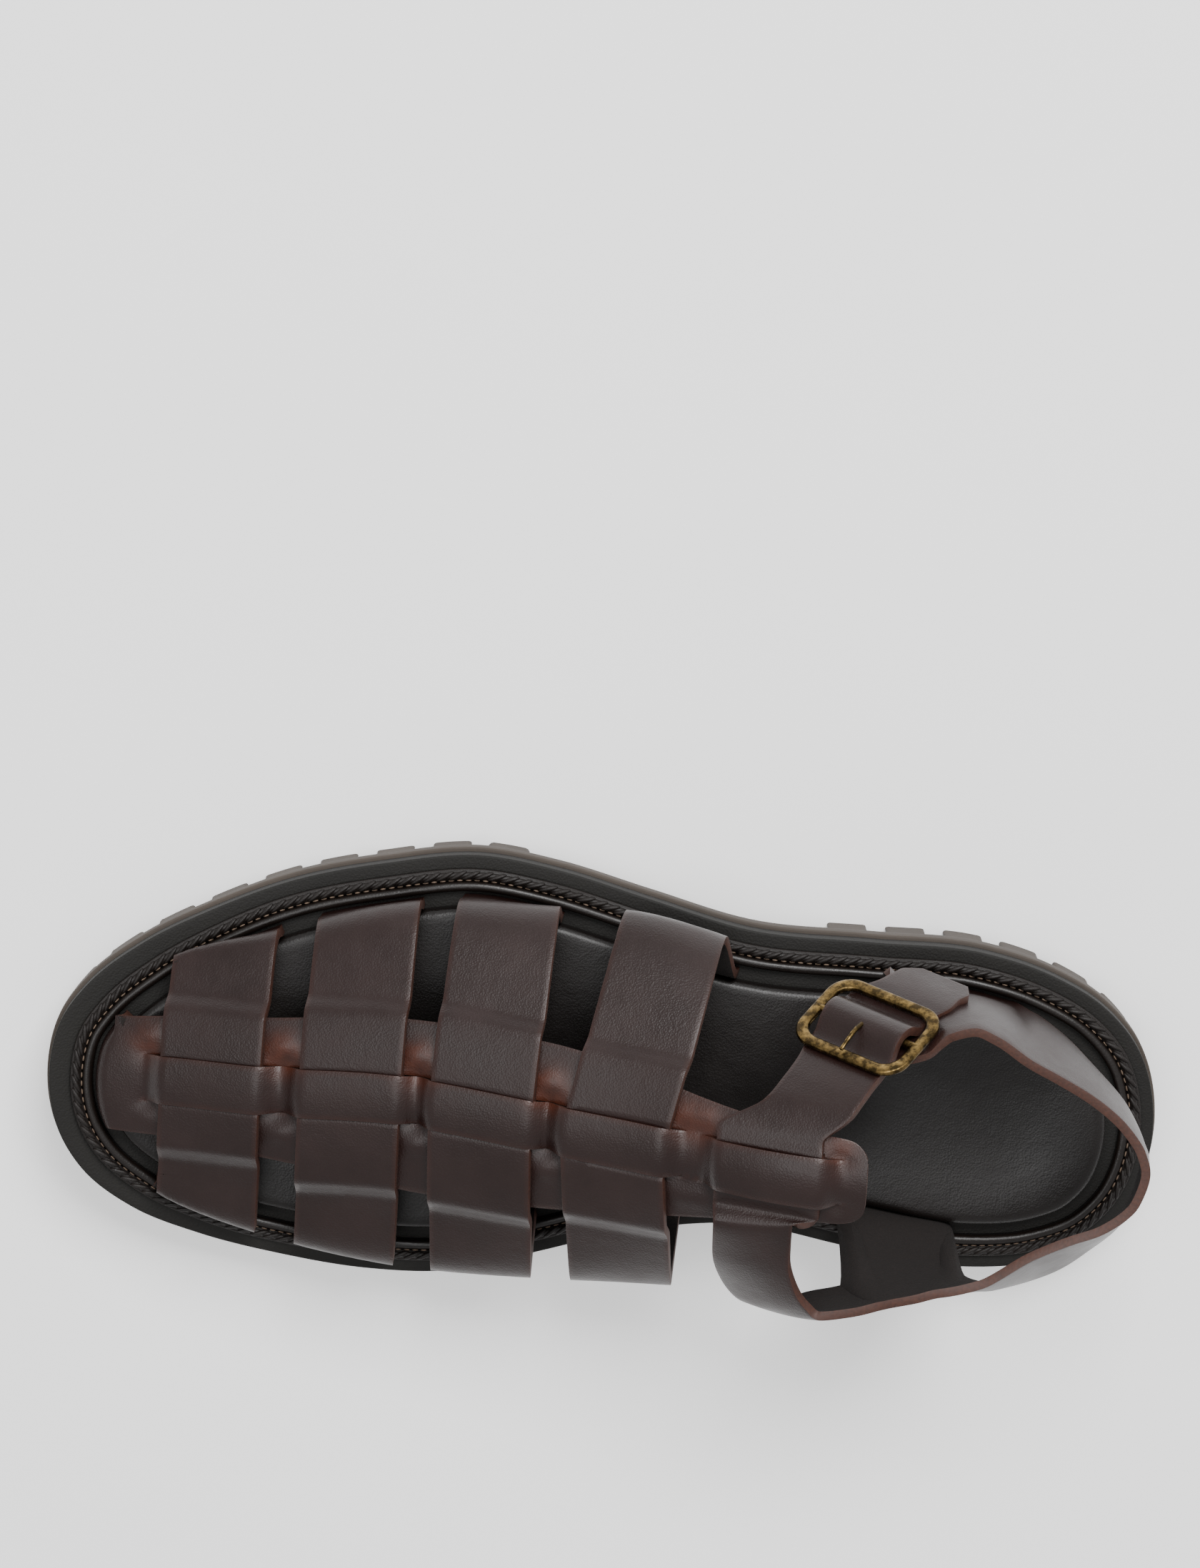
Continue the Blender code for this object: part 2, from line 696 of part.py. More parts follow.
def make_band(middle):
    """The middle band of the centre strap where it goes over a cross strap, sunk at its ends."""
    reach = STRAP_WIDTH / 2 + WEAVE_RAMP
    alongs = middle + np.linspace(-reach, reach, 13)
    ways = np.linspace(-BAND_WIDTH / 2, BAND_WIDTH / 2, 3)
    grid = [[on_last(along, way) for way in ways] for along in alongs]
    over = 1 - smoothstep(STRAP_WIDTH / 2 - 0.25 * WEAVE_RAMP, reach, np.abs(alongs - middle))
    top = -WEAVE_SINK + (LEATHER + BAND_STEP + WEAVE_SINK) * over[:, None]
    return slab("band", grid, (0, 0, 1), high=top, low=-0.6 * LEATHER)


def weave_lift(way, wing):
    """How far a cross strap's outer face stands off the last: under the band, over the wing, then down."""
    way = abs(way)
    under = smoothstep(0.3 * BAND_WIDTH, 0.5 * BAND_WIDTH, way)
    past = smoothstep(wing, wing + 1.6 * WEAVE_RAMP, way)
    return -WEAVE_SINK + (LEATHER + WEAVE_SINK) * under - LEATHER * past


def make_cross_strap(name, lateral, ridge, medial):
    """A strap across the foot, down to the slot on both sides."""
    near = np.array([0.0, 0.3, 0.42, 0.52, 0.8]) * BAND_WIDTH
    grid, lifts = [], []
    for side, edge in ((LATERAL, lateral), (MEDIAL, medial)):
        rows, heights = [], []
        middle_wing = centre_widths(ridge * SOLE_LENGTH)[0 if side == LATERAL else 1]
        steps = [*near, middle_wing, middle_wing + 0.8 * WEAVE_RAMP, middle_wing + 1.7 * WEAVE_RAMP]
        start = steps[-1]
        for k in range(len(steps) + 7):
            row, height = [], []
            for offset in (0.5, 0.0, -0.5):
                fraction = max(0.0, (k - len(steps) + 1) / 7)
                lean = (min(k, len(steps) - 1) / len(steps) * 0.35 + 0.65 * fraction) if k else 0
                along = (ridge + (edge - ridge) * lean) * SOLE_LENGTH + offset * STRAP_WIDTH
                far = abs(girth(along, side))
                way = steps[k] if k < len(steps) else start + (far - start) * fraction
                row.append(on_last(along, side * min(way, far)))
                height.append(weave_lift(way, middle_wing))
            rows.append(row)
            heights.append(height)
        if side == LATERAL:
            grid, lifts = rows[:0:-1], heights[:0:-1]
        else:
            grid, lifts = grid + rows, lifts + heights
    high = np.array(lifts)
    low = high - LEATHER
    return slab(name + " strap", grid, (0, 0, 1), high=high, low=low)


def at_crossing(side, ways):
    """Rows of three points over the fifth crossing, from the band outwards."""
    middle = FIFTH_CROSSING * SOLE_LENGTH
    rows = []
    for way in ways:
        rows.append([on_last(middle + offset * STRAP_WIDTH, side * way) for offset in (-0.5, 0.5)])
    return rows


def lifted(points, lift):
    """Points raised along the last's own normal over the instep."""
    return [point + np.array([0.35, 0.0, 0.94]) * lift for point in points]


def ankle_rows():
    """Rows of six points from the ankle band's upper edge to its lower edge."""
    rows = []
    crossing = at_crossing(MEDIAL, np.array([0.35, 0.55, 0.85]) * BAND_WIDTH)
    for points, lift in zip(crossing, (0.0, LEATHER, LEATHER)):
        rear, front = lifted(points, lift)
        rows.append([rear + (front - rear) * s for s in np.linspace(0, 1, 6)])
    for row in ANKLE_BAND:
        upper = np.array([row[0] * SOLE_LENGTH, row[1] * BALL_WIDTH, row[2] * HEEL_HEIGHT])
        lower = np.array([row[3] * SOLE_LENGTH, row[4] * BALL_WIDTH, row[5] * HEEL_HEIGHT])
        side = MEDIAL if row[1] > 0 else LATERAL
        in_slot = row[5] == 0
        if in_slot:
            lower[1] = edge_across(lower[0], slot_inset(), side)
            floor = float(sole_top(lower[0])) + 1.5 * CLEARANCE
            lower[2] = floor + SLOT_HEIGHT
        split = np.linspace(0, 1, 4 if in_slot else 6)
        out = np.array([0.0, side, 0.0])
        line = [upper + (lower - upper) * s + out * row[6] * BALL_WIDTH * 4 * s * (1 - s) for s in split]
        if in_slot:
            line.append(np.array([lower[0], lower[1], floor + SLOT_HEIGHT / 2]))
            line.append(np.array([lower[0], lower[1], floor]))
        rows.append(line)
    for row in BAND_END:
        upper = buckle_point(row[0] * BUCKLE_LENGTH, row[1] * BUCKLE_WIDTH, -BAND_DROP)
        lower = buckle_point(row[2] * BUCKLE_LENGTH, row[3] * BUCKLE_WIDTH, -BAND_DROP)
        rows.append([upper + (lower - upper) * s for s in np.linspace(0, 1, 6)])
    return np.array(rows)


def monotone(rows, steps):
    """The rows with steps between each two, through a curve that never overshoots a row."""
    chords = np.diff(rows, axis=0)
    slopes = np.zeros_like(rows)
    same = chords[1:] * chords[:-1] > 0
    total = np.where(same, chords[1:] + chords[:-1], 1)
    slopes[1:-1] = np.where(same, 2 * chords[1:] * chords[:-1] / total, 0)
    slopes[0], slopes[-1] = chords[0], chords[-1]
    made = []
    for k in range(len(chords)):
        for s in np.arange(steps) / steps:
            made.append(
                rows[k] * (2 * s**3 - 3 * s**2 + 1)
                + rows[k + 1] * (3 * s**2 - 2 * s**3)
                + slopes[k] * (s**3 - 2 * s**2 + s)
                + slopes[k + 1] * (s**3 - s**2)
            )
    made.append(rows[-1])
    return np.array(made)


def make_ankle_band():
    """One wall from the fifth crossing round the heel to the buckle, with a leg on each side."""
    rows = monotone(ankle_rows(), 2)
    return slab("ankle band", rows, (-1, 0, 0.2))


def buckle_frame_axes():
    """The buckle's middle and its ways across the strap, along the strap and out."""
    along, across, height = BUCKLE_PLACE
    middle = Vector((along * SOLE_LENGTH, across * BALL_WIDTH, height * HEEL_HEIGHT))
    over = Vector(BUCKLE_ACROSS).normalized()
    down = Vector(BUCKLE_ALONG)
    down = (down - over * down.dot(over)).normalized()
    out = over.cross(down)
    if out.z < 0:
        out = -out
    return middle, over, down, out


def buckle_point(over, down, out):
    middle, e_over, e_down, e_out = buckle_frame_axes()
    return np.array(middle + e_over * over + e_down * down + e_out * out)


def make_buckle_strap():
    """The free strap: from the fifth crossing, under, over and under the buckle, to its tip."""
    rows = []
    crossing = at_crossing(LATERAL, np.array([0.35, 0.55, 0.85]) * BAND_WIDTH)
    for points, lift in zip(crossing, (0.0, LEATHER, LEATHER)):
        rear, front = lifted(points, lift)
        rows.append([rear, (rear + front) / 2, front])
    backward = (rear - front) / np.linalg.norm(rear - front)
    _, over, _, _ = buckle_frame_axes()
    half = BUCKLE_STRAP_WIDTH / 2

    def table_row(row):
        along, across, height, width, turn = row
        centre = np.array([along * SOLE_LENGTH, across * BALL_WIDTH, height * HEEL_HEIGHT])
        way = backward + (np.array(over) - backward) * turn
        reach = way / np.linalg.norm(way) * width * BUCKLE_STRAP_WIDTH
        return [centre + reach, centre, centre - reach]

    rows += [table_row(row) for row in BUCKLE_STRAP]
    rest = BUCKLE_THICKNESS / 2 + CLEARANCE
    crest = BAR_RADIUS + CLEARANCE + LEATHER
    side = BUCKLE_WIDTH / 2 - BUCKLE_BAND / 2
    hump = ((-side, -rest), (-0.62 * side, -0.4 * rest), (-0.3 * side, 0.72 * crest), (0, crest),
            (0.3 * side, 0.72 * crest), (0.62 * side, -0.4 * rest), (side, -rest))
    for down, out in hump:
        rows.append([buckle_point(across, down, out) for across in (half, 0, -half)])
    rows += [table_row(row) for row in STRAP_END]
    return slab("buckle strap", rows, (0, -0.5, 1))


def rounded_rectangle(length, width, corner, steps):
    """Points round a rectangle with round corners."""
    points = []
    for quarter, (sx, sy) in enumerate(((1, 1), (-1, 1), (-1, -1), (1, -1))):
        for step in range(steps + 1):
            turn = math.pi / 2 * (quarter + step / steps)
            points.append(
                (
                    sx * (length / 2 - corner) + corner * math.cos(turn),
                    sy * (width / 2 - corner) + corner * math.sin(turn),
                )
            )
    return points


def cylinder_along(name, start, end, radius, sides=16):
    """A closed round bar between two points."""
    start, end = Vector(start), Vector(end)
    turn = (end - start).to_track_quat("Z", "Y").to_matrix()
    verts = []
    for place in (start, end):
        for k in range(sides):
            angle = 2 * math.pi * k / sides
            verts.append(place + turn @ Vector((radius * math.cos(angle), radius * math.sin(angle), 0)))
    faces = [tuple(range(sides)), tuple(range(sides, 2 * sides))]
    faces += [(k, (k + 1) % sides, sides + (k + 1) % sides, sides + k) for k in range(sides)]
    return new_object(name, [tuple(v) for v in verts], faces, None)


def block_along(name, start, end, across, width, thickness):
    """A closed square bar between two points, with its width along the given way."""
    start, end, across = Vector(start), Vector(end), Vector(across).normalized()
    out = (end - start).cross(across).normalized()
    verts = []
    for place in (start, end):
        for side_over, side_out in ((-1, -1), (1, -1), (1, 1), (-1, 1)):
            verts.append(place + across * side_over * width / 2 + out * side_out * thickness / 2)
    faces = [(0, 1, 2, 3), (4, 5, 6, 7), (0, 1, 5, 4), (1, 2, 6, 5), (2, 3, 7, 6), (3, 0, 4, 7)]
    return new_object(name, [tuple(v) for v in verts], faces, None)


def frame_mesh(profile):
    """A frame round the buckle's window from its profile, each point an inset and a height."""
    verts, faces = [], []
    steps = 4
    for inset, out in profile:
        corner = BUCKLE_CORNER - 0.75 * inset
        plan = rounded_rectangle(BUCKLE_LENGTH - 2 * inset, BUCKLE_WIDTH - 2 * inset, corner, steps)
        verts += [buckle_point(over, down, out) for over, down in plan]
    count = 4 * (steps + 1)
    for level in range(len(profile)):
        low, high = level * count, (level + 1) % len(profile) * count
        faces += [(low + k, low + (k + 1) % count, high + (k + 1) % count, high + k) for k in range(count)]
    return verts, faces


def make_buckle():
    """The brass frame with its centre bar."""
    brass = material("Antique brass", (0.16, 0.115, 0.045), 0.38, 1.0)
    band, thick = BUCKLE_BAND, BUCKLE_THICKNESS
    edge = 0.5 * MM
    profile = (
        (0, -thick / 2 + edge), (0, thick / 2 - edge), (edge, thick / 2),
        (band - edge, thick / 2), (band, thick / 2 - edge),
        (band, -thick / 2 + edge), (band - edge, -thick / 2), (edge, -thick / 2),
    )
    frame = new_object("buckle_frame", *frame_mesh(profile), brass)
    reach = BUCKLE_LENGTH / 2 - band / 2
    bar = cylinder_along("bar", buckle_point(-reach, 0, 0), buckle_point(reach, 0, 0), BAR_RADIUS, 12)
    join(frame, [bar])
    shade(frame)


def prong_rest():
    """The height at which the prong lies over the buckle's frame."""
    return BUCKLE_THICKNESS / 2 + CLEARANCE + 0.5 * PRONG_WIDTH


def make_prong():
    """The brass prong: a loop round the centre bar and a pin that rests on the near side."""
    brass = bpy.data.materials["Antique brass"]
    inner = BAR_RADIUS + CLEARANCE
    outer = inner + 0.8 * MM
    width = PRONG_WIDTH
    sides = 14
    verts, faces = [], []
    for over in (-width / 2, width / 2):
        for radius in (inner, outer):
            for k in range(sides):
                angle = 2 * math.pi * k / sides
                verts.append(buckle_point(over, radius * math.cos(angle), radius * math.sin(angle)))
    for k in range(sides):
        after = (k + 1) % sides
        for a, b in ((0, 1), (1, 3), (3, 2), (2, 0)):
            faces.append((a * sides + k, a * sides + after, b * sides + after, b * sides + k))
    loop = new_object("buckle_prong", verts, faces, brass)
    _, over, _, _ = buckle_frame_axes()
    side = BUCKLE_WIDTH / 2
    start = buckle_point(0, -0.5 * inner, outer - 0.3 * MM)
    rest = buckle_point(0, -side + 0.3 * BUCKLE_BAND, prong_rest())
    pin = block_along("pin", start, rest, over, width * 0.9, 1.2 * MM)
    join(loop, [pin])
    shade(loop)


def make_upper():
    """All straps joined into one wall, with the buckle's tunnel and the prong's slot cut out."""
    leather = material("Burgundy-brown leather", (0.042, 0.016, 0.012), 0.35)
    upper = make_centre_strap()
    upper.name = upper.data.name = "upper"
    upper.data.materials.append(leather)
    pieces = [make_cross_strap(*row) for row in CROSS_STRAPS]
    pieces += [make_ankle_band(), make_buckle_strap()]
    pieces += [make_band(row[2] * SOLE_LENGTH) for row in CROSS_STRAPS]
    pieces.append(make_band(FIFTH_CROSSING * SOLE_LENGTH))
    join(upper, pieces)
    reach = BUCKLE_LENGTH / 2 + 2 * MM
    tunnel = BAR_RADIUS + CLEARANCE
    cut(upper, cylinder_along("tunnel", buckle_point(-reach, 0, 0), buckle_point(reach, 0, 0), tunnel))
    room, rise = CLEARANCE, BUCKLE_THICKNESS / 2 + CLEARANCE
    profile = ((-room, -rise), (-room, 2 * rise), (BUCKLE_BAND + room, 2 * rise), (BUCKLE_BAND + room, -rise))
    cut(upper, new_object("bed", *frame_mesh(profile), None))
    slot = PRONG_WIDTH / 2 + CLEARANCE
    start, end = buckle_point(0, 2.6 * MM, 0), buckle_point(0, -BUCKLE_WIDTH / 2, 3 * MM)
    _, over, _, _ = buckle_frame_axes()
    cut(upper, block_along("prong slot", start, end, over, 2 * slot, 6.2 * MM))
    keep_largest(upper)
    shade(upper)


def main():
    for obj in list(bpy.data.objects):
        bpy.data.objects.remove(obj)
    make_outsole()
    make_midsole()
    make_welt()
    make_rand()
    make_insole()
    make_upper()
    make_buckle()
    make_prong()


main()
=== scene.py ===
import functools
import math

import bmesh
import bpy
import numpy as np
from mathutils import Matrix, Vector


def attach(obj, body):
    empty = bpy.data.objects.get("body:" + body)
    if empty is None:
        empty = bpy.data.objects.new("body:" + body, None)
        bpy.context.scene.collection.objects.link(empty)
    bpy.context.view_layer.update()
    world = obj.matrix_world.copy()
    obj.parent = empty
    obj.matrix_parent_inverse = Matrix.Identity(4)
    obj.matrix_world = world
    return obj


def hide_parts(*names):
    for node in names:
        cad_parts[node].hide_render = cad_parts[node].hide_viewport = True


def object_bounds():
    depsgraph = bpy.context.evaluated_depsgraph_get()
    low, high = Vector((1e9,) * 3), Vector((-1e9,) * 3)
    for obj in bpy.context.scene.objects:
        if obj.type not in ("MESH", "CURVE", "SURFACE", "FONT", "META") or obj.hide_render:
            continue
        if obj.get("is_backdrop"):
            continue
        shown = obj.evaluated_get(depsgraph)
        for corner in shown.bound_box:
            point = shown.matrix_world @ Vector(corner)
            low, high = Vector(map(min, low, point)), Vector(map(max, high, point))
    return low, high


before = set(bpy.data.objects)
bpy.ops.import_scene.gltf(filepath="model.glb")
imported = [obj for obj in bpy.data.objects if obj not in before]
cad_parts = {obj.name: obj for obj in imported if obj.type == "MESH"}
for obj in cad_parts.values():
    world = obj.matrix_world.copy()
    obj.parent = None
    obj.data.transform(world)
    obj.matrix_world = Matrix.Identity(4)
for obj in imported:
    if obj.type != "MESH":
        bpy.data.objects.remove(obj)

# The whole flat sandal, right foot: +X to the toe, -Y the lateral (buckle) side, +Z up, metres.
# Lengths are first worked out from the rear of the sole and then moved with the CAD model.
bounds_at_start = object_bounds()
scene = bpy.context.scene
MM = 0.001


# ---------------------------------------------------------------- the view, the floor and the light
# A pale paper floor under soft studio light. The large light hangs over the buckle side, so the
# soft shadow falls on the medial side. The camera looks down a little from the buckle side.
def linear(code):
    """An sRGB hex colour as the linear colour that the shaders take."""
    parts = [int(code[k:k + 2], 16) / 255 for k in (0, 2, 4)]
    return (*[c / 12.92 if c <= 0.04045 else ((c + 0.055) / 1.055) ** 2.4 for c in parts], 1)


def add(tree, kind, inputs=None, **settings):
    """Adds a node. Each input is given a value or the output socket that feeds it."""
    made = tree.nodes.new(kind)
    for name, value in settings.items():
        setattr(made, name, value)
    for name, value in (inputs or {}).items():
        if isinstance(value, bpy.types.NodeSocket):
            tree.links.new(value, made.inputs[name])
        else:
            made.inputs[name].default_value = value
    return made


def new_material(name):
    """A material with its node tree, its shader and its object coordinates."""
    made = bpy.data.materials.new(name)
    made.use_nodes = True
    tree = made.node_tree
    place = add(tree, "ShaderNodeTexCoord").outputs["Object"]
    return made, tree, tree.nodes["Principled BSDF"], place


camera = bpy.data.objects.new("camera", bpy.data.cameras.new("camera"))
scene.collection.objects.link(camera)
camera.data.sensor_fit = "HORIZONTAL"
camera.data.sensor_width = 36
camera.data.lens = 153.214
right, up = (-0.998626, -0.052396, 0.000273), (0.051389, -0.980422, -0.190085)
turn = Matrix((right, up, (0.010227, -0.189810, 0.981768))).transposed().to_4x4()
camera.matrix_world = Matrix.Translation((0.019242, -0.338626, 1.356379)) @ turn
scene.camera = camera

# White paper: a plain matt ground with the faintest tone in it
paper, tree, shader, place = new_material("White paper")
tone = add(tree, "ShaderNodeTexNoise", {"Vector": place, "Scale": 9.0, "Detail": 2.0})
mixed = add(tree, "ShaderNodeMix", {0: tone.outputs[0], 6: linear("f4f4f4"), 7: linear("f8f8f8")}, data_type="RGBA")
tree.links.new(mixed.outputs[2], shader.inputs["Base Color"])
shader.inputs["Roughness"].default_value = 0.9
shader.inputs["Emission Color"].default_value = linear("ffffff")
shader.inputs["Emission Strength"].default_value = 0.35
work = bmesh.new()
bmesh.ops.create_grid(work, x_segments=1, y_segments=1, size=4)
floor = bpy.data.objects.new("floor", bpy.data.meshes.new("floor"))
work.to_mesh(floor.data)
work.free()
floor.data.materials.append(paper)
scene.collection.objects.link(floor)
floor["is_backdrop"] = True

world = bpy.data.worlds.new("studio")
world.use_nodes = True
world.node_tree.nodes["Background"].inputs["Color"].default_value = linear("ffffff")
world.node_tree.nodes["Background"].inputs["Strength"].default_value = 0.7
scene.world = world
for name, size, power, spot in (
    ("key light", 0.9, 40, (-0.35, -1.15, 1.5)),
    ("top light", 1.2, 16, (0.5, -0.1, 2.2)),
):
    lamp = bpy.data.objects.new(name, bpy.data.lights.new(name, "AREA"))
    lamp.data.size = size
    lamp.data.energy = power
    lamp.location = spot
    lamp.rotation_euler = (-Vector(spot)).to_track_quat("-Z", "Y").to_euler()
    scene.collection.objects.link(lamp)


# ---------------------------------------------------------------- outsole
# Grey-brown moulded rubber with lugs round the forefoot and the heel and lozenge studs between
# them, glued under the midsole. The edge stands about 1 mm outside the midsole.
SOLE_LENGTH = 300 * MM
BALL_WIDTH = 118.5 * MM
CLEARANCE = 0.35 * MM
LUG_DEPTH, HEEL_LUG_EXTRA, OUTSOLE_BASE = 6 * MM, 2 * MM, 4.5 * MM
MIDSOLE_THICKNESS, HEEL_LAYER_EXTRA, TOE_SPRING = 5.5 * MM, 0.5 * MM, 9 * MM
LUG_PITCH, LUG_NOTCH, LUG_REACH = 15.5 * MM, 4 * MM, 16 * MM
STUD_LENGTH, STUD_WIDTH = 11 * MM, 14 * MM
WELT_INSET, TOE_MARGIN = 4.5 * MM, 2.2 * MM
LATERAL, MEDIAL = -1, 1
STATIONS = 150
REAR_END, TOE_END = (0.0, 0.013), (1.0, -0.008)
OUTLINE = (
    # along, lateral, medial
    (0.020, 0.181, 0.207), (0.053, 0.272, 0.297), (0.100, 0.338, 0.349), (0.167, 0.386, 0.370),
    (0.267, 0.397, 0.338), (0.373, 0.408, 0.297), (0.467, 0.467, 0.329), (0.550, 0.522, 0.391),
    (0.620, 0.547, 0.444), (0.707, 0.517, 0.452), (0.787, 0.468, 0.426), (0.860, 0.392, 0.383),
    (0.920, 0.311, 0.324), (0.967, 0.215, 0.233), (0.990, 0.131, 0.139),
)


def smooth_through(points, steps, closed=False):
    """A curve through the points, each span cut into steps."""
    points = np.asarray(points, float)
    if closed:
        points = np.concatenate([points[-1:], points, points[:2]])
    else:
        points = np.concatenate([2 * points[:1] - points[1:2], points, 2 * points[-1:] - points[-2:-1]])
    gaps = np.linalg.norm(np.diff(points, axis=0), axis=1)[:, None]
    chords = np.diff(points, axis=0) / gaps
    slopes = (chords[:-1] * gaps[1:] + chords[1:] * gaps[:-1]) / (gaps[:-1] + gaps[1:])
    share = (np.arange(steps) / steps)[None, :, None]
    start, end = points[1:-2, None], points[2:-1, None]
    span = gaps[1:-1, None]
    curve = (
        start * (2 * share**3 - 3 * share**2 + 1)
        + end * (3 * share**2 - 2 * share**3)
        + slopes[:-1, None] * span * (share**3 - 2 * share**2 + share)
        + slopes[1:, None] * span * (share**3 - share**2)
    ).reshape(-1, points.shape[1])
    return curve if closed else np.concatenate([curve, points[-2:-1]])


def smoothstep(low, high, value):
    share = np.clip((value - low) / (high - low), 0, 1)
    return share * share * (3 - 2 * share)


@functools.lru_cache(maxsize=None)
def edge_loop(inset):
    """The outsole's edge drawn in by inset, as points from the rear along the lateral side."""
    lateral = [(along * SOLE_LENGTH, -side * BALL_WIDTH) for along, side, _ in OUTLINE]
    medial = [(along * SOLE_LENGTH, side * BALL_WIDTH) for along, _, side in reversed(OUTLINE)]
    rear, toe = [(along * SOLE_LENGTH, across * BALL_WIDTH) for along, across in (REAR_END, TOE_END)]
    loop = smooth_through([rear, *lateral, toe, *medial], 24, closed=True)
    ahead = np.roll(loop, -1, axis=0) - np.roll(loop, 1, axis=0)
    ahead /= np.linalg.norm(ahead, axis=1)[:, None]
    inward = np.stack([-ahead[:, 1], ahead[:, 0]], axis=1)
    margin = TOE_MARGIN * smoothstep(0.8 * SOLE_LENGTH, SOLE_LENGTH, loop[:, :1])
    return loop + (inset + margin * smoothstep(WELT_INSET - 0.01 * MM, WELT_INSET, inset)) * inward


@functools.lru_cache(maxsize=None)
def edge_side(inset, side):
    """One side of the drawn-in edge, sorted from the rear to the toe."""
    loop = edge_loop(inset)
    rear, front = loop[:, 0].argmin(), loop[:, 0].argmax()
    rear -= len(loop) if rear > front else 0
    walk = np.arange(rear, front + 1) if side == LATERAL else np.arange(rear + len(loop), front - 1, -1)
    points = loop[walk % len(loop)]
    return points[np.argsort(points[:, 0])]


def edge_across(along, inset, side):
    """How far across the drawn-in edge lies at this length, on one side."""
    points = edge_side(inset, side)
    return np.interp(along, points[:, 0], points[:, 1])


def ring(inset, share=0.0):
    """Points round the drawn-in edge, drawn on by a share of the way to the sole's middle line."""
    loop = edge_loop(inset)
    rear, front = loop[:, 0].min(), loop[:, 0].max()
    along = rear + (front - rear) * (1 - np.cos(np.pi * np.arange(STATIONS + 1) / STATIONS)) / 2
    rows = []
    kept = np.clip(along, rear + 34 * MM, front - 40 * MM)
    middle = (edge_across(kept, inset, LATERAL) + edge_across(kept, inset, MEDIAL)) / 2
    for side in (LATERAL, MEDIAL):
        across = edge_across(along, inset, side)
        across[0] = loop[loop[:, 0].argmin(), 1]
        across[-1] = loop[loop[:, 0].argmax(), 1]
        row = np.stack([along, across], axis=1)
        rows.append(row + (np.stack([kept, middle], axis=1) - row) * share)
    return np.concatenate([rows[0], rows[1][-2:0:-1]])


def heel_share(along):
    return 1 - smoothstep(0.22 * SOLE_LENGTH, 0.62 * SOLE_LENGTH, along)


def spring(along):
    """The rise of the sole towards the toe."""
    start = 0.72 * SOLE_LENGTH
    return TOE_SPRING * np.clip((along - start) / (SOLE_LENGTH - start), 0, None) ** 2


def tread_top(along):
    return LUG_DEPTH + HEEL_LUG_EXTRA * heel_share(along) + spring(along)


def outsole_top(along):
    return tread_top(along) + OUTSOLE_BASE + HEEL_LAYER_EXTRA * heel_share(along)


def midsole_bottom(along):
    return outsole_top(along) + CLEARANCE


def sole_top(along):
    return outsole_top(along) + MIDSOLE_THICKNESS + HEEL_LAYER_EXTRA * heel_share(along)


def sweep_rings(work, rings):
    """A tube of faces through rings of equally many points, each ring extruded from the last."""
    spot = work.verts.layers.int.get("spot") or work.verts.layers.int.new("spot")
    made = bmesh.ops.create_circle(work, segments=len(rings[0]), radius=1)["verts"]
    for k, vert in enumerate(made):
        vert[spot] = k
        vert.co = rings[0][k]
    edges = list(dict.fromkeys(edge for vert in made for edge in vert.link_edges))
    for points in rings[1:]:
        grown = bmesh.ops.extrude_edge_only(work, edges=edges)["geom"]
        verts = {item for item in grown if isinstance(item, bmesh.types.BMVert)}
        for vert in verts:
            vert.co = points[vert[spot]]
        edges = [item for item in grown if isinstance(item, bmesh.types.BMEdge) and set(item.verts) <= verts]


def layer(work, bottom, top, inset, low_round, high_round, crown=None):
    """A closed layer of the sole between two heights, with its lower and upper edge rounded."""
    crown = crown or (lambda x, share: 0.0)
    turns = np.linspace(0, math.pi / 2, 5)
    levels = [(inset + low_round, share, bottom, 0.0) for share in (1.0, 0.6, 0.25)]
    levels += [(inset + low_round * (1 - math.sin(t)), 0, bottom, low_round * (1 - math.cos(t))) for t in turns]
    levels += [(inset + high_round * (1 - math.cos(t)), 0, top, -high_round * (1 - math.sin(t))) for t in turns]
    levels += [(inset + high_round, share, top, 0.0) for share in (0.04, 0.1, 0.2, 0.35, 0.55, 0.8, 1.0)]
    rings = []
    for drawn, share, height, rise in levels:
        lift = [crown(x, share) if height is top else 0.0 for x, _ in ring(drawn, share)]
        rings.append([(x, y, height(x) + rise + up) for (x, y), up in zip(ring(drawn, share), lift)])
    sweep_rings(work, rings)


outer_edge = edge_loop(0)
MIDDLE = Vector((SOLE_LENGTH / 2, (outer_edge[:, 1].min() + outer_edge[:, 1].max()) / 2, 0))


def new_piece(name, work, *materials, merge=0.01 * MM, turn_out=True):
    """A smooth-shaded object from the mesh, moved from the heel to the middle of the sole."""
    bmesh.ops.remove_doubles(work, verts=work.verts, dist=merge)
    if turn_out:
        bmesh.ops.recalc_face_normals(work, faces=work.faces)
    bmesh.ops.translate(work, verts=work.verts, vec=-MIDDLE)
    made = bpy.data.objects.new(name, bpy.data.meshes.new(name))
    work.to_mesh(made.data)
    work.free()
    made.data.shade_smooth()
    for item in materials:
        made.data.materials.append(item)
    scene.collection.objects.link(made)
    return made


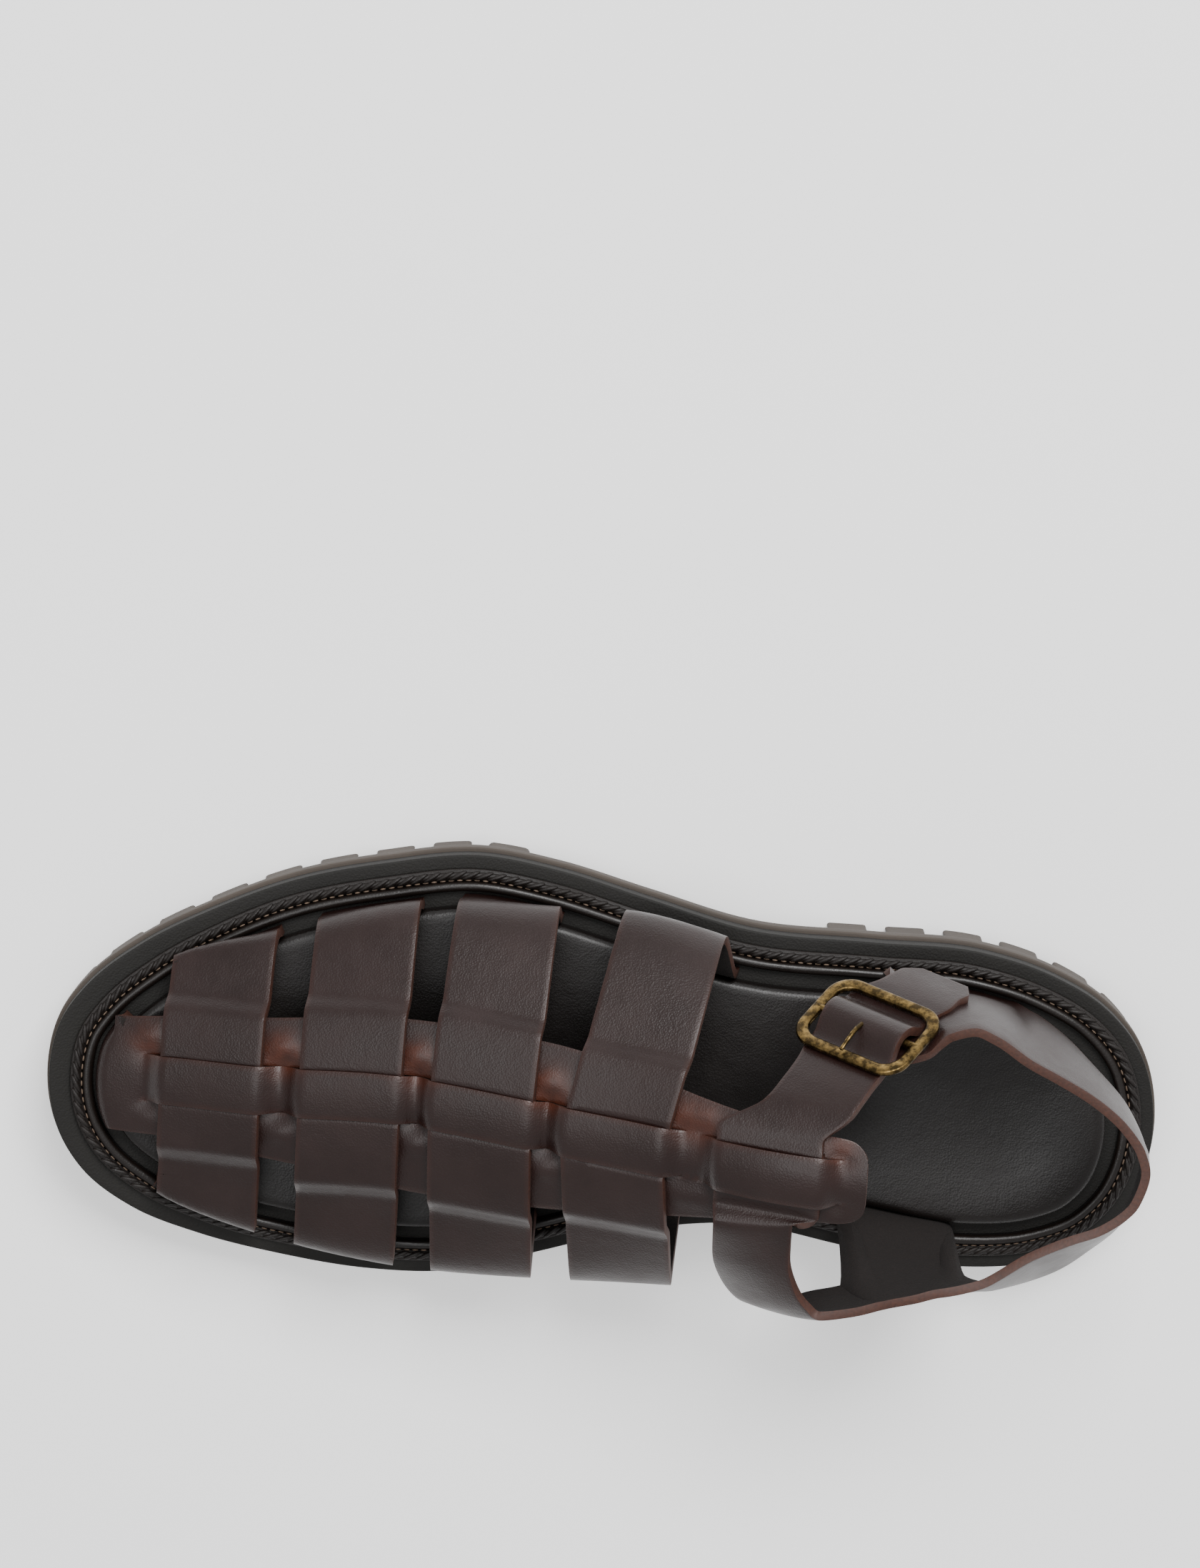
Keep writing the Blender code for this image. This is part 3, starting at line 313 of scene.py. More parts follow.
def raised(work, plan, bottom, top, corner, edge):
    """An upright block over a plan, with its corners and its lower edge rounded."""
    verts = bmesh.ops.create_circle(work, cap_ends=True, segments=len(plan), radius=1)["verts"]
    for vert, (x, y) in zip(verts, plan):
        vert.co = (x, y, bottom(x))
    face = next(iter(verts[0].link_faces))
    grown = bmesh.ops.extrude_face_region(work, geom=[face], use_keep_orig=True)["geom"]
    for vert in grown:
        if isinstance(vert, bmesh.types.BMVert):
            vert.co.z = top(vert.co.x)
    links = dict.fromkeys(e for v in verts for e in v.link_edges)
    uprights = [e for e in links if abs(e.verts[0].co.z - e.verts[1].co.z) > 2 * MM]
    sharp = []
    for upright in uprights:
        low = min(upright.verts, key=lambda v: v.co.z)
        sides = [e.other_vert(low).co - low.co for e in low.link_edges if e is not upright]
        if sides[0].angle(sides[1]) < math.radians(150):
            sharp.append(upright)
    bmesh.ops.bevel(work, geom=sharp, affect="EDGES", offset=corner, segments=3, profile=0.5, material=-1)
    rim = [e for e in face.edges] if face.is_valid else []
    bmesh.ops.bevel(work, geom=rim, affect="EDGES", offset=edge, segments=2, profile=0.5, material=-1)


def lug_plans(start, end):
    """Plans of the lugs round the edge, where it lies between two lengths of the sole."""
    outer, inner = edge_loop(0.4 * MM), edge_loop(LUG_REACH)
    inside = (outer[:, 0] > start) & (outer[:, 0] < end)
    first = np.flatnonzero(inside & ~np.roll(inside, 1))[0]
    walk = (first + np.arange(inside.sum())) % len(outer)
    way = np.concatenate([[0], np.cumsum(np.linalg.norm(np.diff(outer[walk], axis=0), axis=1))])
    count = round(way[-1] / LUG_PITCH)
    pitch = (way[-1] + LUG_NOTCH) / count
    for k in range(count):
        at = k * pitch + np.linspace(0, pitch - LUG_NOTCH, 7)
        yield [
            tuple(np.interp(s, way, line[walk][:, axis]) for axis in (0, 1))
            for line, places in ((outer, at), (inner, at[[6, 3, 0]]))
            for s in places
        ]


def stud_plans(start, end):
    """Plans of the lozenge studs inside the lugs: rows of one and of two by turns."""
    reach = LUG_REACH + LUG_NOTCH
    rows = int((end - start) / (STUD_LENGTH + LUG_NOTCH / 2))
    for row in range(rows):
        along = start + (row + 0.5) * (end - start) / rows
        low, high = (edge_across(along, reach, side) for side in (LATERAL, MEDIAL))
        pair = STUD_WIDTH / 2 + LUG_NOTCH / 2
        for shift in (0,) if row % 2 == 0 else (-pair, pair):
            across = (low + high) / 2 + shift
            half = min(STUD_WIDTH / 2, across - low, high - across)
            if half > STUD_WIDTH / 5:
                long = STUD_LENGTH / 2
                yield [
                    (along + a * long, across + b * half)
                    for a, b in ((-1, -0.3), (0, -1), (1, -0.3), (1, 0.3), (0, 1), (-1, 0.3))
                ]


# Moulded rubber: matt, with a fine orange-peel grain and a clouded grey-brown tone
rubber, tree, shader, place = new_material("Grey-brown moulded rubber")
cloud = add(tree, "ShaderNodeTexNoise", {"Vector": place, "Scale": 60.0, "Detail": 5.0})
speck = add(tree, "ShaderNodeTexNoise", {"Vector": place, "Scale": 1400.0, "Detail": 2.0})
tint = add(tree, "ShaderNodeMix", {0: cloud.outputs[0], 6: linear("332c26"), 7: linear("473e36")}, data_type="RGBA")
tree.links.new(tint.outputs[2], shader.inputs["Base Color"])
shader.inputs["Roughness"].default_value = 0.72
grain = add(tree, "ShaderNodeBump", {"Height": speck.outputs[0], "Strength": 0.5, "Distance": 0.15 * MM})
tree.links.new(grain.outputs[0], shader.inputs["Normal"])

work = bmesh.new()
layer(work, tread_top, outsole_top, 0, 0.8 * MM, 0.5 * MM)
heel_breast, forefoot_start = 0.31 * SOLE_LENGTH, 0.575 * SOLE_LENGTH
blocks = [*lug_plans(forefoot_start, 1.1 * SOLE_LENGTH), *lug_plans(-0.1 * SOLE_LENGTH, heel_breast)]
for plan in blocks:
    raised(work, plan, spring, lambda x: tread_top(x) + 0.7 * MM, 1.4 * MM, 0.7 * MM)
for plan in [*stud_plans(forefoot_start, 0.93 * SOLE_LENGTH), *stud_plans(0.075 * SOLE_LENGTH, heel_breast)]:
    raised(work, plan, spring, lambda x: tread_top(x) + 0.7 * MM, 1.0 * MM, 0.6 * MM)
outsole = new_piece("outsole_rubber", work, rubber)
outsole.data.set_sharp_from_angle(angle=math.radians(50))
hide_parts("outsole")
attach(outsole, "root")


# ---------------------------------------------------------------- midsole
# Black micro-cell rubber, ground flush all round and glued on the outsole. About 4 mm of it
# shows outside the welt.
# Near black with a dry, fine grain that breaks up the highlight
cells, tree, shader, place = new_material("Black cellular rubber")
dust = add(tree, "ShaderNodeTexNoise", {"Vector": place, "Scale": 45.0, "Detail": 6.0})
pores = add(tree, "ShaderNodeTexVoronoi", {"Vector": place, "Scale": 1700.0})
tint = add(tree, "ShaderNodeMix", {0: dust.outputs[0], 6: linear("0d0c0a"), 7: linear("191714")}, data_type="RGBA")
tree.links.new(tint.outputs[2], shader.inputs["Base Color"])
shader.inputs["Roughness"].default_value = 0.66
shader.inputs["Specular IOR Level"].default_value = 0.3
grain = add(tree, "ShaderNodeBump", {"Height": pores.outputs["Distance"], "Strength": 0.6, "Distance": 0.12 * MM})
tree.links.new(grain.outputs[0], shader.inputs["Normal"])

work = bmesh.new()
layer(work, midsole_bottom, sole_top, 1 * MM, 0.3 * MM, 0.55 * MM)
midsole = new_piece("midsole_rubber", work, cells)
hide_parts("midsole")
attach(midsole, "root")


# ---------------------------------------------------------------- welt
# A flat dark leather strip round the straps with two fine ridges, a twisted cord sewn on at its
# inner side and a row of small stitches beside the cord.
WELT_WIDTH, WELT_THICKNESS, CORD_WIDTH = 3 * MM, 1.6 * MM, 2.2 * MM


def trim(work, profile):
    """A closed trim round the sole from its profile, each point an inset and a rise over the midsole."""
    sweep_rings(work, [[(x, y, sole_top(x) + rise) for x, y in ring(inset)] for inset, rise in (*profile, profile[0])])


def leather_look(name, dark, light, grain_size, grain_depth, roughness, coat=0.0, burnish=None):
    """Grain leather: pebbled cells over soft waves, a clouded colour and an uneven sheen."""
    made, tree, shader, place = new_material(name)
    cloud = add(tree, "ShaderNodeTexNoise", {"Vector": place, "Scale": 55.0, "Detail": 5.0, "Roughness": 0.6})
    wave = add(tree, "ShaderNodeTexNoise", {"Vector": place, "Scale": 260.0, "Detail": 3.0})
    cell = add(tree, "ShaderNodeTexVoronoi", {"Vector": place, "Scale": 1 / grain_size}, feature="SMOOTH_F1")
    cell.inputs["Smoothness"].default_value = 0.35
    tint = add(tree, "ShaderNodeMix", {0: cloud.outputs[0], 6: linear(dark), 7: linear(light)}, data_type="RGBA")
    colour = tint.outputs[2]
    if burnish:
        rub = add(tree, "ShaderNodeAttribute", attribute_name="burnish")
        patchy = add(tree, "ShaderNodeMath", {0: rub.outputs["Fac"], 1: wave.outputs[0]}, operation="MULTIPLY")
        strong = add(tree, "ShaderNodeMath", {0: patchy.outputs[0], 1: 0.8}, operation="MULTIPLY", use_clamp=True)
        rubbed = add(tree, "ShaderNodeMix", {0: strong.outputs[0], 6: colour, 7: linear(burnish)}, data_type="RGBA")
        colour = rubbed.outputs[2]
    tree.links.new(colour, shader.inputs["Base Color"])
    dull = add(tree, "ShaderNodeMapRange", {0: cloud.outputs[0], 1: 0.3, 2: 0.7, 3: roughness[0], 4: roughness[1]})
    tree.links.new(dull.outputs[0], shader.inputs["Roughness"])
    soft = add(tree, "ShaderNodeBump", {"Height": wave.outputs[0], "Strength": 0.35, "Distance": 0.3 * MM})
    fine = add(
        tree, "ShaderNodeBump",
        {"Height": cell.outputs["Distance"], "Strength": 0.5, "Distance": grain_depth, "Normal": soft.outputs[0]},
    )
    tree.links.new(fine.outputs[0], shader.inputs["Normal"])
    shader.inputs["Specular IOR Level"].default_value = 0.34
    shader.inputs["Coat Weight"].default_value = coat
    shader.inputs["Coat Roughness"].default_value = 0.28
    return made


# Waxed welt leather: darker and drier than the straps, with a tight grain
welt_leather = leather_look("Waxed welt leather", "0d0907", "18110e", 0.35 * MM, 0.08 * MM, (0.45, 0.62))
# Thread: dull waxed cotton that stands out lighter than the leather
thread, tree, shader, place = new_material("Waxed thread")
fibre = add(tree, "ShaderNodeTexNoise", {"Vector": place, "Scale": 2600.0, "Detail": 2.0})
tint = add(tree, "ShaderNodeMix", {0: fibre.outputs[0], 6: linear("4a3b31"), 7: linear("7d6a58")}, data_type="RGBA")
tree.links.new(tint.outputs[2], shader.inputs["Base Color"])
shader.inputs["Roughness"].default_value = 0.7

outer, inner, top = WELT_INSET, WELT_INSET + WELT_WIDTH, WELT_THICKNESS
cord_line = inner - 0.2 * MM - CORD_WIDTH / 2
profile = [(outer, 0), (outer, top - 0.5 * MM), (outer + 0.15 * MM, top - 0.15 * MM), (outer + 0.4 * MM, top)]
for middle in (0.75, 1.25):
    profile += [(outer + (middle + a) * MM, top + b * MM) for a, b in ((-0.2, -0.06), (-0.08, 0.14), (0.08, 0.14), (0.2, -0.06))]
profile += [(cord_line - 0.45 * CORD_WIDTH, top - 0.1 * MM)]
profile += [(cord_line - 0.4 * CORD_WIDTH * math.cos(t), top + 0.75 * MM * math.sin(t)) for t in np.linspace(0, math.pi, 7)]
profile += [(inner, top), (inner, 0)]
work = bmesh.new()
trim(work, profile)
welt = new_piece("welt_strip", work, welt_leather)


def along_line(inset, pitch, start=0.0):
    """Places at an even pitch round the drawn-in edge: the place, the way ahead and the way inward."""
    loop = edge_loop(inset)
    closed = np.concatenate([loop, loop[:1]])
    way = np.concatenate([[0], np.cumsum(np.linalg.norm(np.diff(closed, axis=0), axis=1))])
    count = round(way[-1] / pitch)
    for s in (np.arange(count) + start) * way[-1] / count:
        x, y = (np.interp(s, way, closed[:, k]) for k in (0, 1))
        ahead = [np.interp(s + 0.5 * MM, way, closed[:, k], period=way[-1]) for k in (0, 1)]
        rise = sole_top(ahead[0]) - sole_top(x)
        forward = Vector((ahead[0] - x, ahead[1] - y, rise)).normalized()
        yield Vector((x, y, sole_top(x))), forward, Vector((-forward.y, forward.x, 0)).normalized()


def strands(work, inset, pitch, rise, size, lean, rings=(9, 6)):
    """Lens-shaped strands laid round the sole at a lean to the line."""
    for place, forward, inward in along_line(inset, pitch):
        turned = Matrix.Rotation(lean, 3, "Z")
        axes = Matrix((forward, inward, forward.cross(inward))).transposed() @ turned
        spot = Matrix.Translation(place + Vector((0, 0, rise))) @ axes.to_4x4()
        shape = Matrix.Diagonal((*size, 1)) @ Matrix.Rotation(math.pi / 2, 4, "Y")
        bmesh.ops.create_uvsphere(work, u_segments=rings[0], v_segments=rings[1], radius=1, matrix=spot @ shape)


work = bmesh.new()
strands(work, cord_line, 3.5 * MM, WELT_THICKNESS + 0.35 * MM, (2.7 * MM, 0.72 * MM, 0.95 * MM), math.radians(24))
cord = new_piece("welt_cord", work, welt_leather, merge=0)
work = bmesh.new()
strands(work, inner + 0.1 * MM, 2.3 * MM, WELT_THICKNESS, (0.8 * MM, 0.22 * MM, 0.22 * MM), 0, rings=(6, 5))
stitches = new_piece("welt_stitches", work, thread, merge=0)
for made in (welt, cord, stitches):
    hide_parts("welt")
    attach(made, "root")


# ---------------------------------------------------------------- rand
# A smooth rolled leather cord between the welt and the straps, sewn in with them.
RAND_WIDTH, RAND_HEIGHT = 2.7 * MM, 3 * MM
rand_leather = leather_look("Rolled rand leather", "0c0806", "17100d", 0.5 * MM, 0.06 * MM, (0.3, 0.46), coat=0.1)
outer = WELT_INSET + WELT_WIDTH + CLEARANCE
centre, shoulder = outer + RAND_WIDTH / 2, RAND_HEIGHT - RAND_WIDTH / 2
profile = [(outer, 0)]
for turn in np.linspace(0, math.pi, 13):
    profile.append((centre - RAND_WIDTH / 2 * math.cos(turn), shoulder + RAND_WIDTH / 2 * math.sin(turn)))
profile.append((outer + RAND_WIDTH, 0))
work = bmesh.new()
trim(work, profile)
rand = new_piece("rand_roll", work, rand_leather)
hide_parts("rand")
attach(rand, "root")


# ---------------------------------------------------------------- insole
# A foam footbed covered in dark leather, its edge turned down all round. The heel is lightly
# cupped. It is glued on the midsole between the straps' ends.
LEATHER = 2.4 * MM
INSOLE_THICKNESS, HEEL_CUP = 5.4 * MM, 1.6 * MM
SLOT_INSET = WELT_INSET + WELT_WIDTH + RAND_WIDTH + 3.5 * CLEARANCE
insole_leather = leather_look("Footbed leather", "0a0706", "130d0b", 0.55 * MM, 0.1 * MM, (0.36, 0.52), coat=0.12)


def insole_bottom(along):
    return sole_top(along) + CLEARANCE


def insole_top(along):
    heel = 1 - smoothstep(0.1 * SOLE_LENGTH, 0.4 * SOLE_LENGTH, along)
    return sole_top(along) + INSOLE_THICKNESS + 0.8 * HEEL_CUP * heel


def footbed_dish(along, share):
    heel = 1 - smoothstep(0.1 * SOLE_LENGTH, 0.4 * SOLE_LENGTH, along)
    return -(0.5 * MM + HEEL_CUP * heel) * smoothstep(0.0, 0.75, share)


work = bmesh.new()
layer(work, insole_bottom, insole_top, SLOT_INSET + LEATHER + 2 * CLEARANCE, 0.5 * MM, 2.2 * MM, footbed_dish)
insole = new_piece("insole_cover", work, insole_leather)
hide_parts("insole")
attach(insole, "root")


# ---------------------------------------------------------------- upper: the centre strap
# Burgundy-brown box leather, 2.4 mm thick, lying on the last from the tail tab to the toe, where
# it is turned down into the slot. Two slits at each cross strap leave a narrow middle band that
# goes over it, while the two wings go under it.
INSTEP_HEIGHT, HEEL_HEIGHT = 85 * MM, 70 * MM
STRAP_WIDTH, BAND_WIDTH, BAND_STEP = 27 * MM, 12.8 * MM, 0.8 * MM
SLOT_HEIGHT, WEAVE_SINK, WEAVE_RAMP = 3.8 * MM, 0.3 * MM, 4 * MM
SHOULDER_ACROSS, SHOULDER_DROP = 0.64, 0.2
SIDE_HEIGHT = {LATERAL: 0.36, MEDIAL: 0.48}
TOE_FOLD = 0.938
FIFTH_CROSSING = 0.355
LAST = (
    # along, ridge across, ridge height, lateral side, medial side
    (0.270, 0.035, 1.000, 0.354, 0.340), (0.337, 0.029, 0.953, 0.380, 0.358),
    (0.417, 0.015, 0.853, 0.435, 0.376), (0.480, 0.002, 0.776, 0.464, 0.384),
    (0.547, -0.012, 0.712, 0.460, 0.392), (0.680, -0.037, 0.588, 0.447, 0.392),
    (0.797, -0.023, 0.488, 0.363, 0.346), (0.887, -0.020, 0.400, 0.291, 0.274),
    (0.927, -0.014, 0.368, 0.228, 0.211), (0.960, -0.012, 0.340, 0.160, 0.143),
)
CENTRE_STRAP = (
    # along, lateral, medial
    (0.273, 0.090, 0.090), (0.285, 0.098, 0.096), (0.330, 0.106, 0.110), (0.393, 0.127, 0.139),
    (0.540, 0.186, 0.203), (0.667, 0.181, 0.224), (0.787, 0.165, 0.169), (0.900, 0.142, 0.135),
    (0.950, 0.137, 0.127),
)
CROSS_STRAPS = (
    # name, at the lateral edge, at the ridge, at the medial edge
    ("first", 0.840, 0.848, 0.853), ("second", 0.714, 0.723, 0.727),
    ("third", 0.587, 0.607, 0.598), ("fourth", 0.426, 0.491, 0.466),
)
SECTION_STEP = 2 * MM


@functools.lru_cache(maxsize=None)
def last_table():
    return smooth_through(LAST, 8)


@functools.lru_cache(maxsize=None)
def section(station):
    """The straps' outer face across the foot at a station: way from the ridge, across and height."""
    along = station * SECTION_STEP
    table = last_table()
    ridge, top, *reach = (np.interp(along / SOLE_LENGTH, table[:, 0], table[:, k]) for k in (1, 2, 3, 4))
    ridge, top = ridge * BALL_WIDTH, top * INSTEP_HEIGHT
    floor = float(sole_top(along)) + 1.5 * CLEARANCE
    half = []
    for side, wide in zip((LATERAL, MEDIAL), reach):
        slot = float(edge_across(along, SLOT_INSET, side))
        bulge = side * max(side * slot, wide * BALL_WIDTH)
        level = max(floor + SIDE_HEIGHT[side] * (top - floor), floor + SLOT_HEIGHT + 1 * MM)
        half.append([
            (slot, floor), (slot, floor + SLOT_HEIGHT), (bulge, level),
            (ridge + SHOULDER_ACROSS * (bulge - ridge), top - SHOULDER_DROP * (top - floor)),
        ])
    points = smooth_through(half[0] + [(ridge, top)] + half[1][::-1], 24)
    way = np.concatenate([[0], np.cumsum(np.linalg.norm(np.diff(points, axis=0), axis=1))])
    return way - way[len(points) // 2], points


def on_last(along, way):
    """The point on the straps' outer face at this length and way from the ridge."""
    first = int(along // SECTION_STEP)
    t = along / SECTION_STEP - first
    weights = (-t + 2 * t**2 - t**3, 2 - 5 * t**2 + 3 * t**3, t + 4 * t**2 - 3 * t**3, t**3 - t**2)
    across = height = 0.0
    for k, weight in enumerate(weights):
        ways, points = section(first - 1 + k)
        across += weight / 2 * np.interp(way, ways, points[:, 0])
        height += weight / 2 * np.interp(way, ways, points[:, 1])
    return np.array([along, across, height])


def off_last(along, way, lift):
    """The same point raised from the last along its normal."""
    point = on_last(along, way)
    if lift == 0:
        return point
    d = 0.4 * MM
    ahead = on_last(along + d, way) - on_last(along - d, way)
    over = on_last(along, way + d) - on_last(along, way - d)
    normal = np.cross(ahead, over)
    return point + lift * normal / np.linalg.norm(normal)


def girth(along, side):
    station = round(along / SECTION_STEP)
    return abs(section(station)[0][-1 if side == MEDIAL else 0])


def sheet(rows, columns):
    """A flat grid whose points hold their column and row as x and y."""
    work = bmesh.new()
    bmesh.ops.create_grid(work, x_segments=columns - 1, y_segments=rows - 1, size=1)
    for vert in work.verts:
        vert.co = ((vert.co.x + 1) / 2 * (columns - 1), (vert.co.y + 1) / 2 * (rows - 1), 0)
    return work


def lay(verts, grid):
    """Moves points from their column and row to the place between the grid's points."""
    rows, columns = grid.shape[:2]
    for vert in verts:
        x, y = min(max(vert.co.x, 0), columns - 1.0001), min(max(vert.co.y, 0), rows - 1.0001)
        i, j = int(y), int(x)
        a, b = y - i, x - j
        low = grid[i, j] * (1 - b) + grid[i, j + 1] * b
        high = grid[i + 1, j] * (1 - b) + grid[i + 1, j + 1] * b
        vert.co = low * (1 - a) + high * a


def strap_piece(name, work, outward, marks=()):
    """A strap from its outer face: leather outside, flesh side within and a cut edge round it."""
    work.normal_update()
    lean = sum((face.normal * face.calc_area() for face in work.faces), Vector())
    if lean.dot(Vector(outward)) < 0:
        bmesh.ops.reverse_faces(work, faces=work.faces)
    burnish = work.verts.layers.float.new("burnish")
    for vert in work.verts:
        glow = sum(math.exp(-((vert.co - Vector(spot)).length / wide) ** 2) for *spot, wide in marks)
        rim = 0.25 if vert.is_boundary else 0.0
        vert[burnish] = min(1.0, glow + rim)
    made = new_piece(name, work, box_leather, cut_edge, flesh_side, turn_out=False)
    wall = made.modifiers.new("thickness", "SOLIDIFY")
    wall.thickness, wall.offset = LEATHER, -1
    wall.material_offset, wall.material_offset_rim = 2, 1
    wall.use_rim = True
    soft = made.modifiers.new("edge", "BEVEL")
    soft.width, soft.segments, soft.limit_method, soft.angle_limit = 0.35 * MM, 2, "ANGLE", math.radians(50)
    soft.harden_normals = False
    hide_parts("upper")
    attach(made, "root")
    return made


# Box leather: deep burgundy brown, lightly waxed, pebbled, burnished orange-brown where it is pinched
box_leather = leather_look(
    "Burgundy-brown box leather", "140907", "24110e", 0.5 * MM, 0.12 * MM, (0.34, 0.5), coat=0.12, burnish="562a19"
)
# Flesh side: raw, matt and nearly black, with a short nap
flesh_side, tree, shader, place = new_material("Raw flesh side")
nap = add(tree, "ShaderNodeTexNoise", {"Vector": place, "Scale": 1500.0, "Detail": 3.0})
tint = add(tree, "ShaderNodeMix", {0: nap.outputs[0], 6: linear("0c0807"), 7: linear("1e1613")}, data_type="RGBA")
tree.links.new(tint.outputs[2], shader.inputs["Base Color"])
shader.inputs["Roughness"].default_value = 0.92
fuzz = add(tree, "ShaderNodeBump", {"Height": nap.outputs[0], "Strength": 0.8, "Distance": 0.2 * MM})
tree.links.new(fuzz.outputs[0], shader.inputs["Normal"])
# Cut edge: raw brown leather with the layers of the hide showing as a streaky grain
cut_edge, tree, shader, place = new_material("Cut leather edge")
streak = add(tree, "ShaderNodeTexNoise", {"Vector": place, "Scale": 1100.0, "Detail": 4.0})
tint = add(tree, "ShaderNodeMix", {0: streak.outputs[0], 6: linear("26140e"), 7: linear("4c2a1d")}, data_type="RGBA")
tree.links.new(tint.outputs[2], shader.inputs["Base Color"])
shader.inputs["Roughness"].default_value = 0.62
rough = add(tree, "ShaderNodeBump", {"Height": streak.outputs[0], "Strength": 0.6, "Distance": 0.15 * MM})
tree.links.new(rough.outputs[0], shader.inputs["Normal"])


def centre_widths(along):
    """The centre strap's half widths, with the tail's corners rounded."""
    table = smooth_through(CENTRE_STRAP, 6)
    tail = CENTRE_STRAP[0][0] * SOLE_LENGTH
    radius = 4.5 * MM
    left = radius - min(along - tail, radius)
    corner = radius - math.sqrt(max(radius**2 - left**2, 0))
    return tuple(np.interp(along / SOLE_LENGTH, table[:, 0], table[:, k]) * BALL_WIDTH - corner for k in (1, 2))


def crossing_places():
    return [row[2] * SOLE_LENGTH for row in CROSS_STRAPS] + [FIFTH_CROSSING * SOLE_LENGTH]


def band_lift(along):
    """How far the middle band stands off the last: over each cross strap, else flat."""
    reach = STRAP_WIDTH / 2 + WEAVE_RAMP
    rise = 0.0
    for middle in crossing_places():
        over = 1 - smoothstep(STRAP_WIDTH / 2 - 0.25 * WEAVE_RAMP, reach + 1 * MM, abs(along - middle))
        rise = max(rise, (LEATHER + BAND_STEP) * float(over))
    return rise


def toe_front(across):
    """How far forward the slot beside the insole lies at the toe, at this distance across."""
    loop = edge_loop(SLOT_INSET)
    loop = loop[loop[:, 0] > 0.8 * SOLE_LENGTH]
    order = np.argsort(loop[:, 1])
    return np.interp(across, loop[order, 1], loop[order, 0])


def pinches():
    """Where the leather is pinched at the ends of the slits: along and way."""
    reach = STRAP_WIDTH / 2 + WEAVE_RAMP
    return [
        (middle + end * reach, side * BAND_WIDTH / 2)
        for middle in crossing_places() for end in (-1, 1) for side in (LATERAL, MEDIAL)
    ]


def pinch_dent(along, way):
    """The soft dent round each pinch and the low roll beside it."""
    dent = 0.0
    for at, over in pinches():
        away = math.hypot((along - at) / (3.2 * MM), (way - over) / (2.6 * MM))
        beside = math.hypot((along - at) / (3.6 * MM), (way - 1.9 * over) / (3 * MM))
        dent += -0.75 * MM * math.exp(-away**2) + 0.5 * MM * math.exp(-beside**2)
    return dent


WING_COLUMNS, BAND_COLUMNS = 13, 9
tail, fold = CENTRE_STRAP[0][0] * SOLE_LENGTH, TOE_FOLD * SOLE_LENGTH
rounding = tail + 4.5 * MM * (1 - np.cos(np.linspace(0, math.pi / 2, 7)))
alongs = np.concatenate([rounding[:-1], np.linspace(rounding[-1], fold, 150)])
flat, raised_band = [], []
for along in alongs:
    lateral, medial = centre_widths(along)
    half = BAND_WIDTH / 2
    ways = [*np.linspace(-lateral, -half, WING_COLUMNS)[:-1], *np.linspace(-half, half, BAND_COLUMNS)]
    ways += [*np.linspace(half, medial, WING_COLUMNS)[1:]]
    flat.append([off_last(along, way, pinch_dent(along, way)) for way in ways])
    rise = band_lift(along)
    bow = [1 - 0.12 * (min(abs(way), half) / half) ** 2 for way in ways]
    raised_band.append([off_last(along, way, rise * b + pinch_dent(along, way)) for way, b in zip(ways, bow)])
edge = np.array(flat[-1])
front = np.array([[toe_front(y), y, z] for _, y, z in edge])
ground = sole_top(front[:, 0]) + 1.5 * CLEARANCE
turned = [np.array(flat[-4]).ravel(), edge.ravel()]
for reach, drop in ((0.5, 0.10), (0.82, 0.28), (0.97, 0.55), (1.0, 0.78), (1.0, 1.0)):
    row = edge + (front - edge) * reach
    row[:, 2] = edge[:, 2] + (ground - edge[:, 2]) * drop
    turned.append(row.ravel())
down = smooth_through(turned, 5)[6:].reshape(-1, edge.shape[0], 3)
flat, raised_band = (np.concatenate([np.array(grid), down]) for grid in (flat, raised_band))
work = sheet(*flat.shape[:2])
lifted_rows = {k for k, along in enumerate(alongs) if band_lift(along) > 0}
slits = [
    e for e in work.edges
    if abs(e.verts[0].co.x - e.verts[1].co.x) < 0.1
    and round(e.verts[0].co.x) in (WING_COLUMNS - 1, WING_COLUMNS + BAND_COLUMNS - 2)
    and {round(v.co.y) for v in e.verts} & lifted_rows
]
bmesh.ops.split_edges(work, edges=slits)
band_verts, wing_verts = [], []
for vert in work.verts:
    middle = np.mean([face.calc_center_median().x for face in vert.link_faces])
    inside = WING_COLUMNS - 1 < middle < WING_COLUMNS + BAND_COLUMNS - 2
    (band_verts if inside else wing_verts).append(vert)
lay(wing_verts, flat)
lay(band_verts, raised_band)
marks = [(*on_last(along, 1.5 * way), 5 * MM) for along, way in pinches() if along < fold and way < 0]
strap_piece("strap_centre", work, (0, 0, 1), marks)


# ---------------------------------------------------------------- upper: the four cross straps
# Straight straps of the same leather across the foot: under the middle band, over the wings and
# down into the slot on both sides.
def weave_lift(way, wing):
    """How far a cross strap's outer face stands off the last: under the band, over the wing, then down."""
    way = abs(way)
    under = smoothstep(0.3 * BAND_WIDTH, 0.52 * BAND_WIDTH, way)
    past = smoothstep(wing, wing + 1.6 * WEAVE_RAMP, way)
    return -WEAVE_SINK + (LEATHER + WEAVE_SINK + 0.15 * MM) * under - (LEATHER + 0.15 * MM) * past


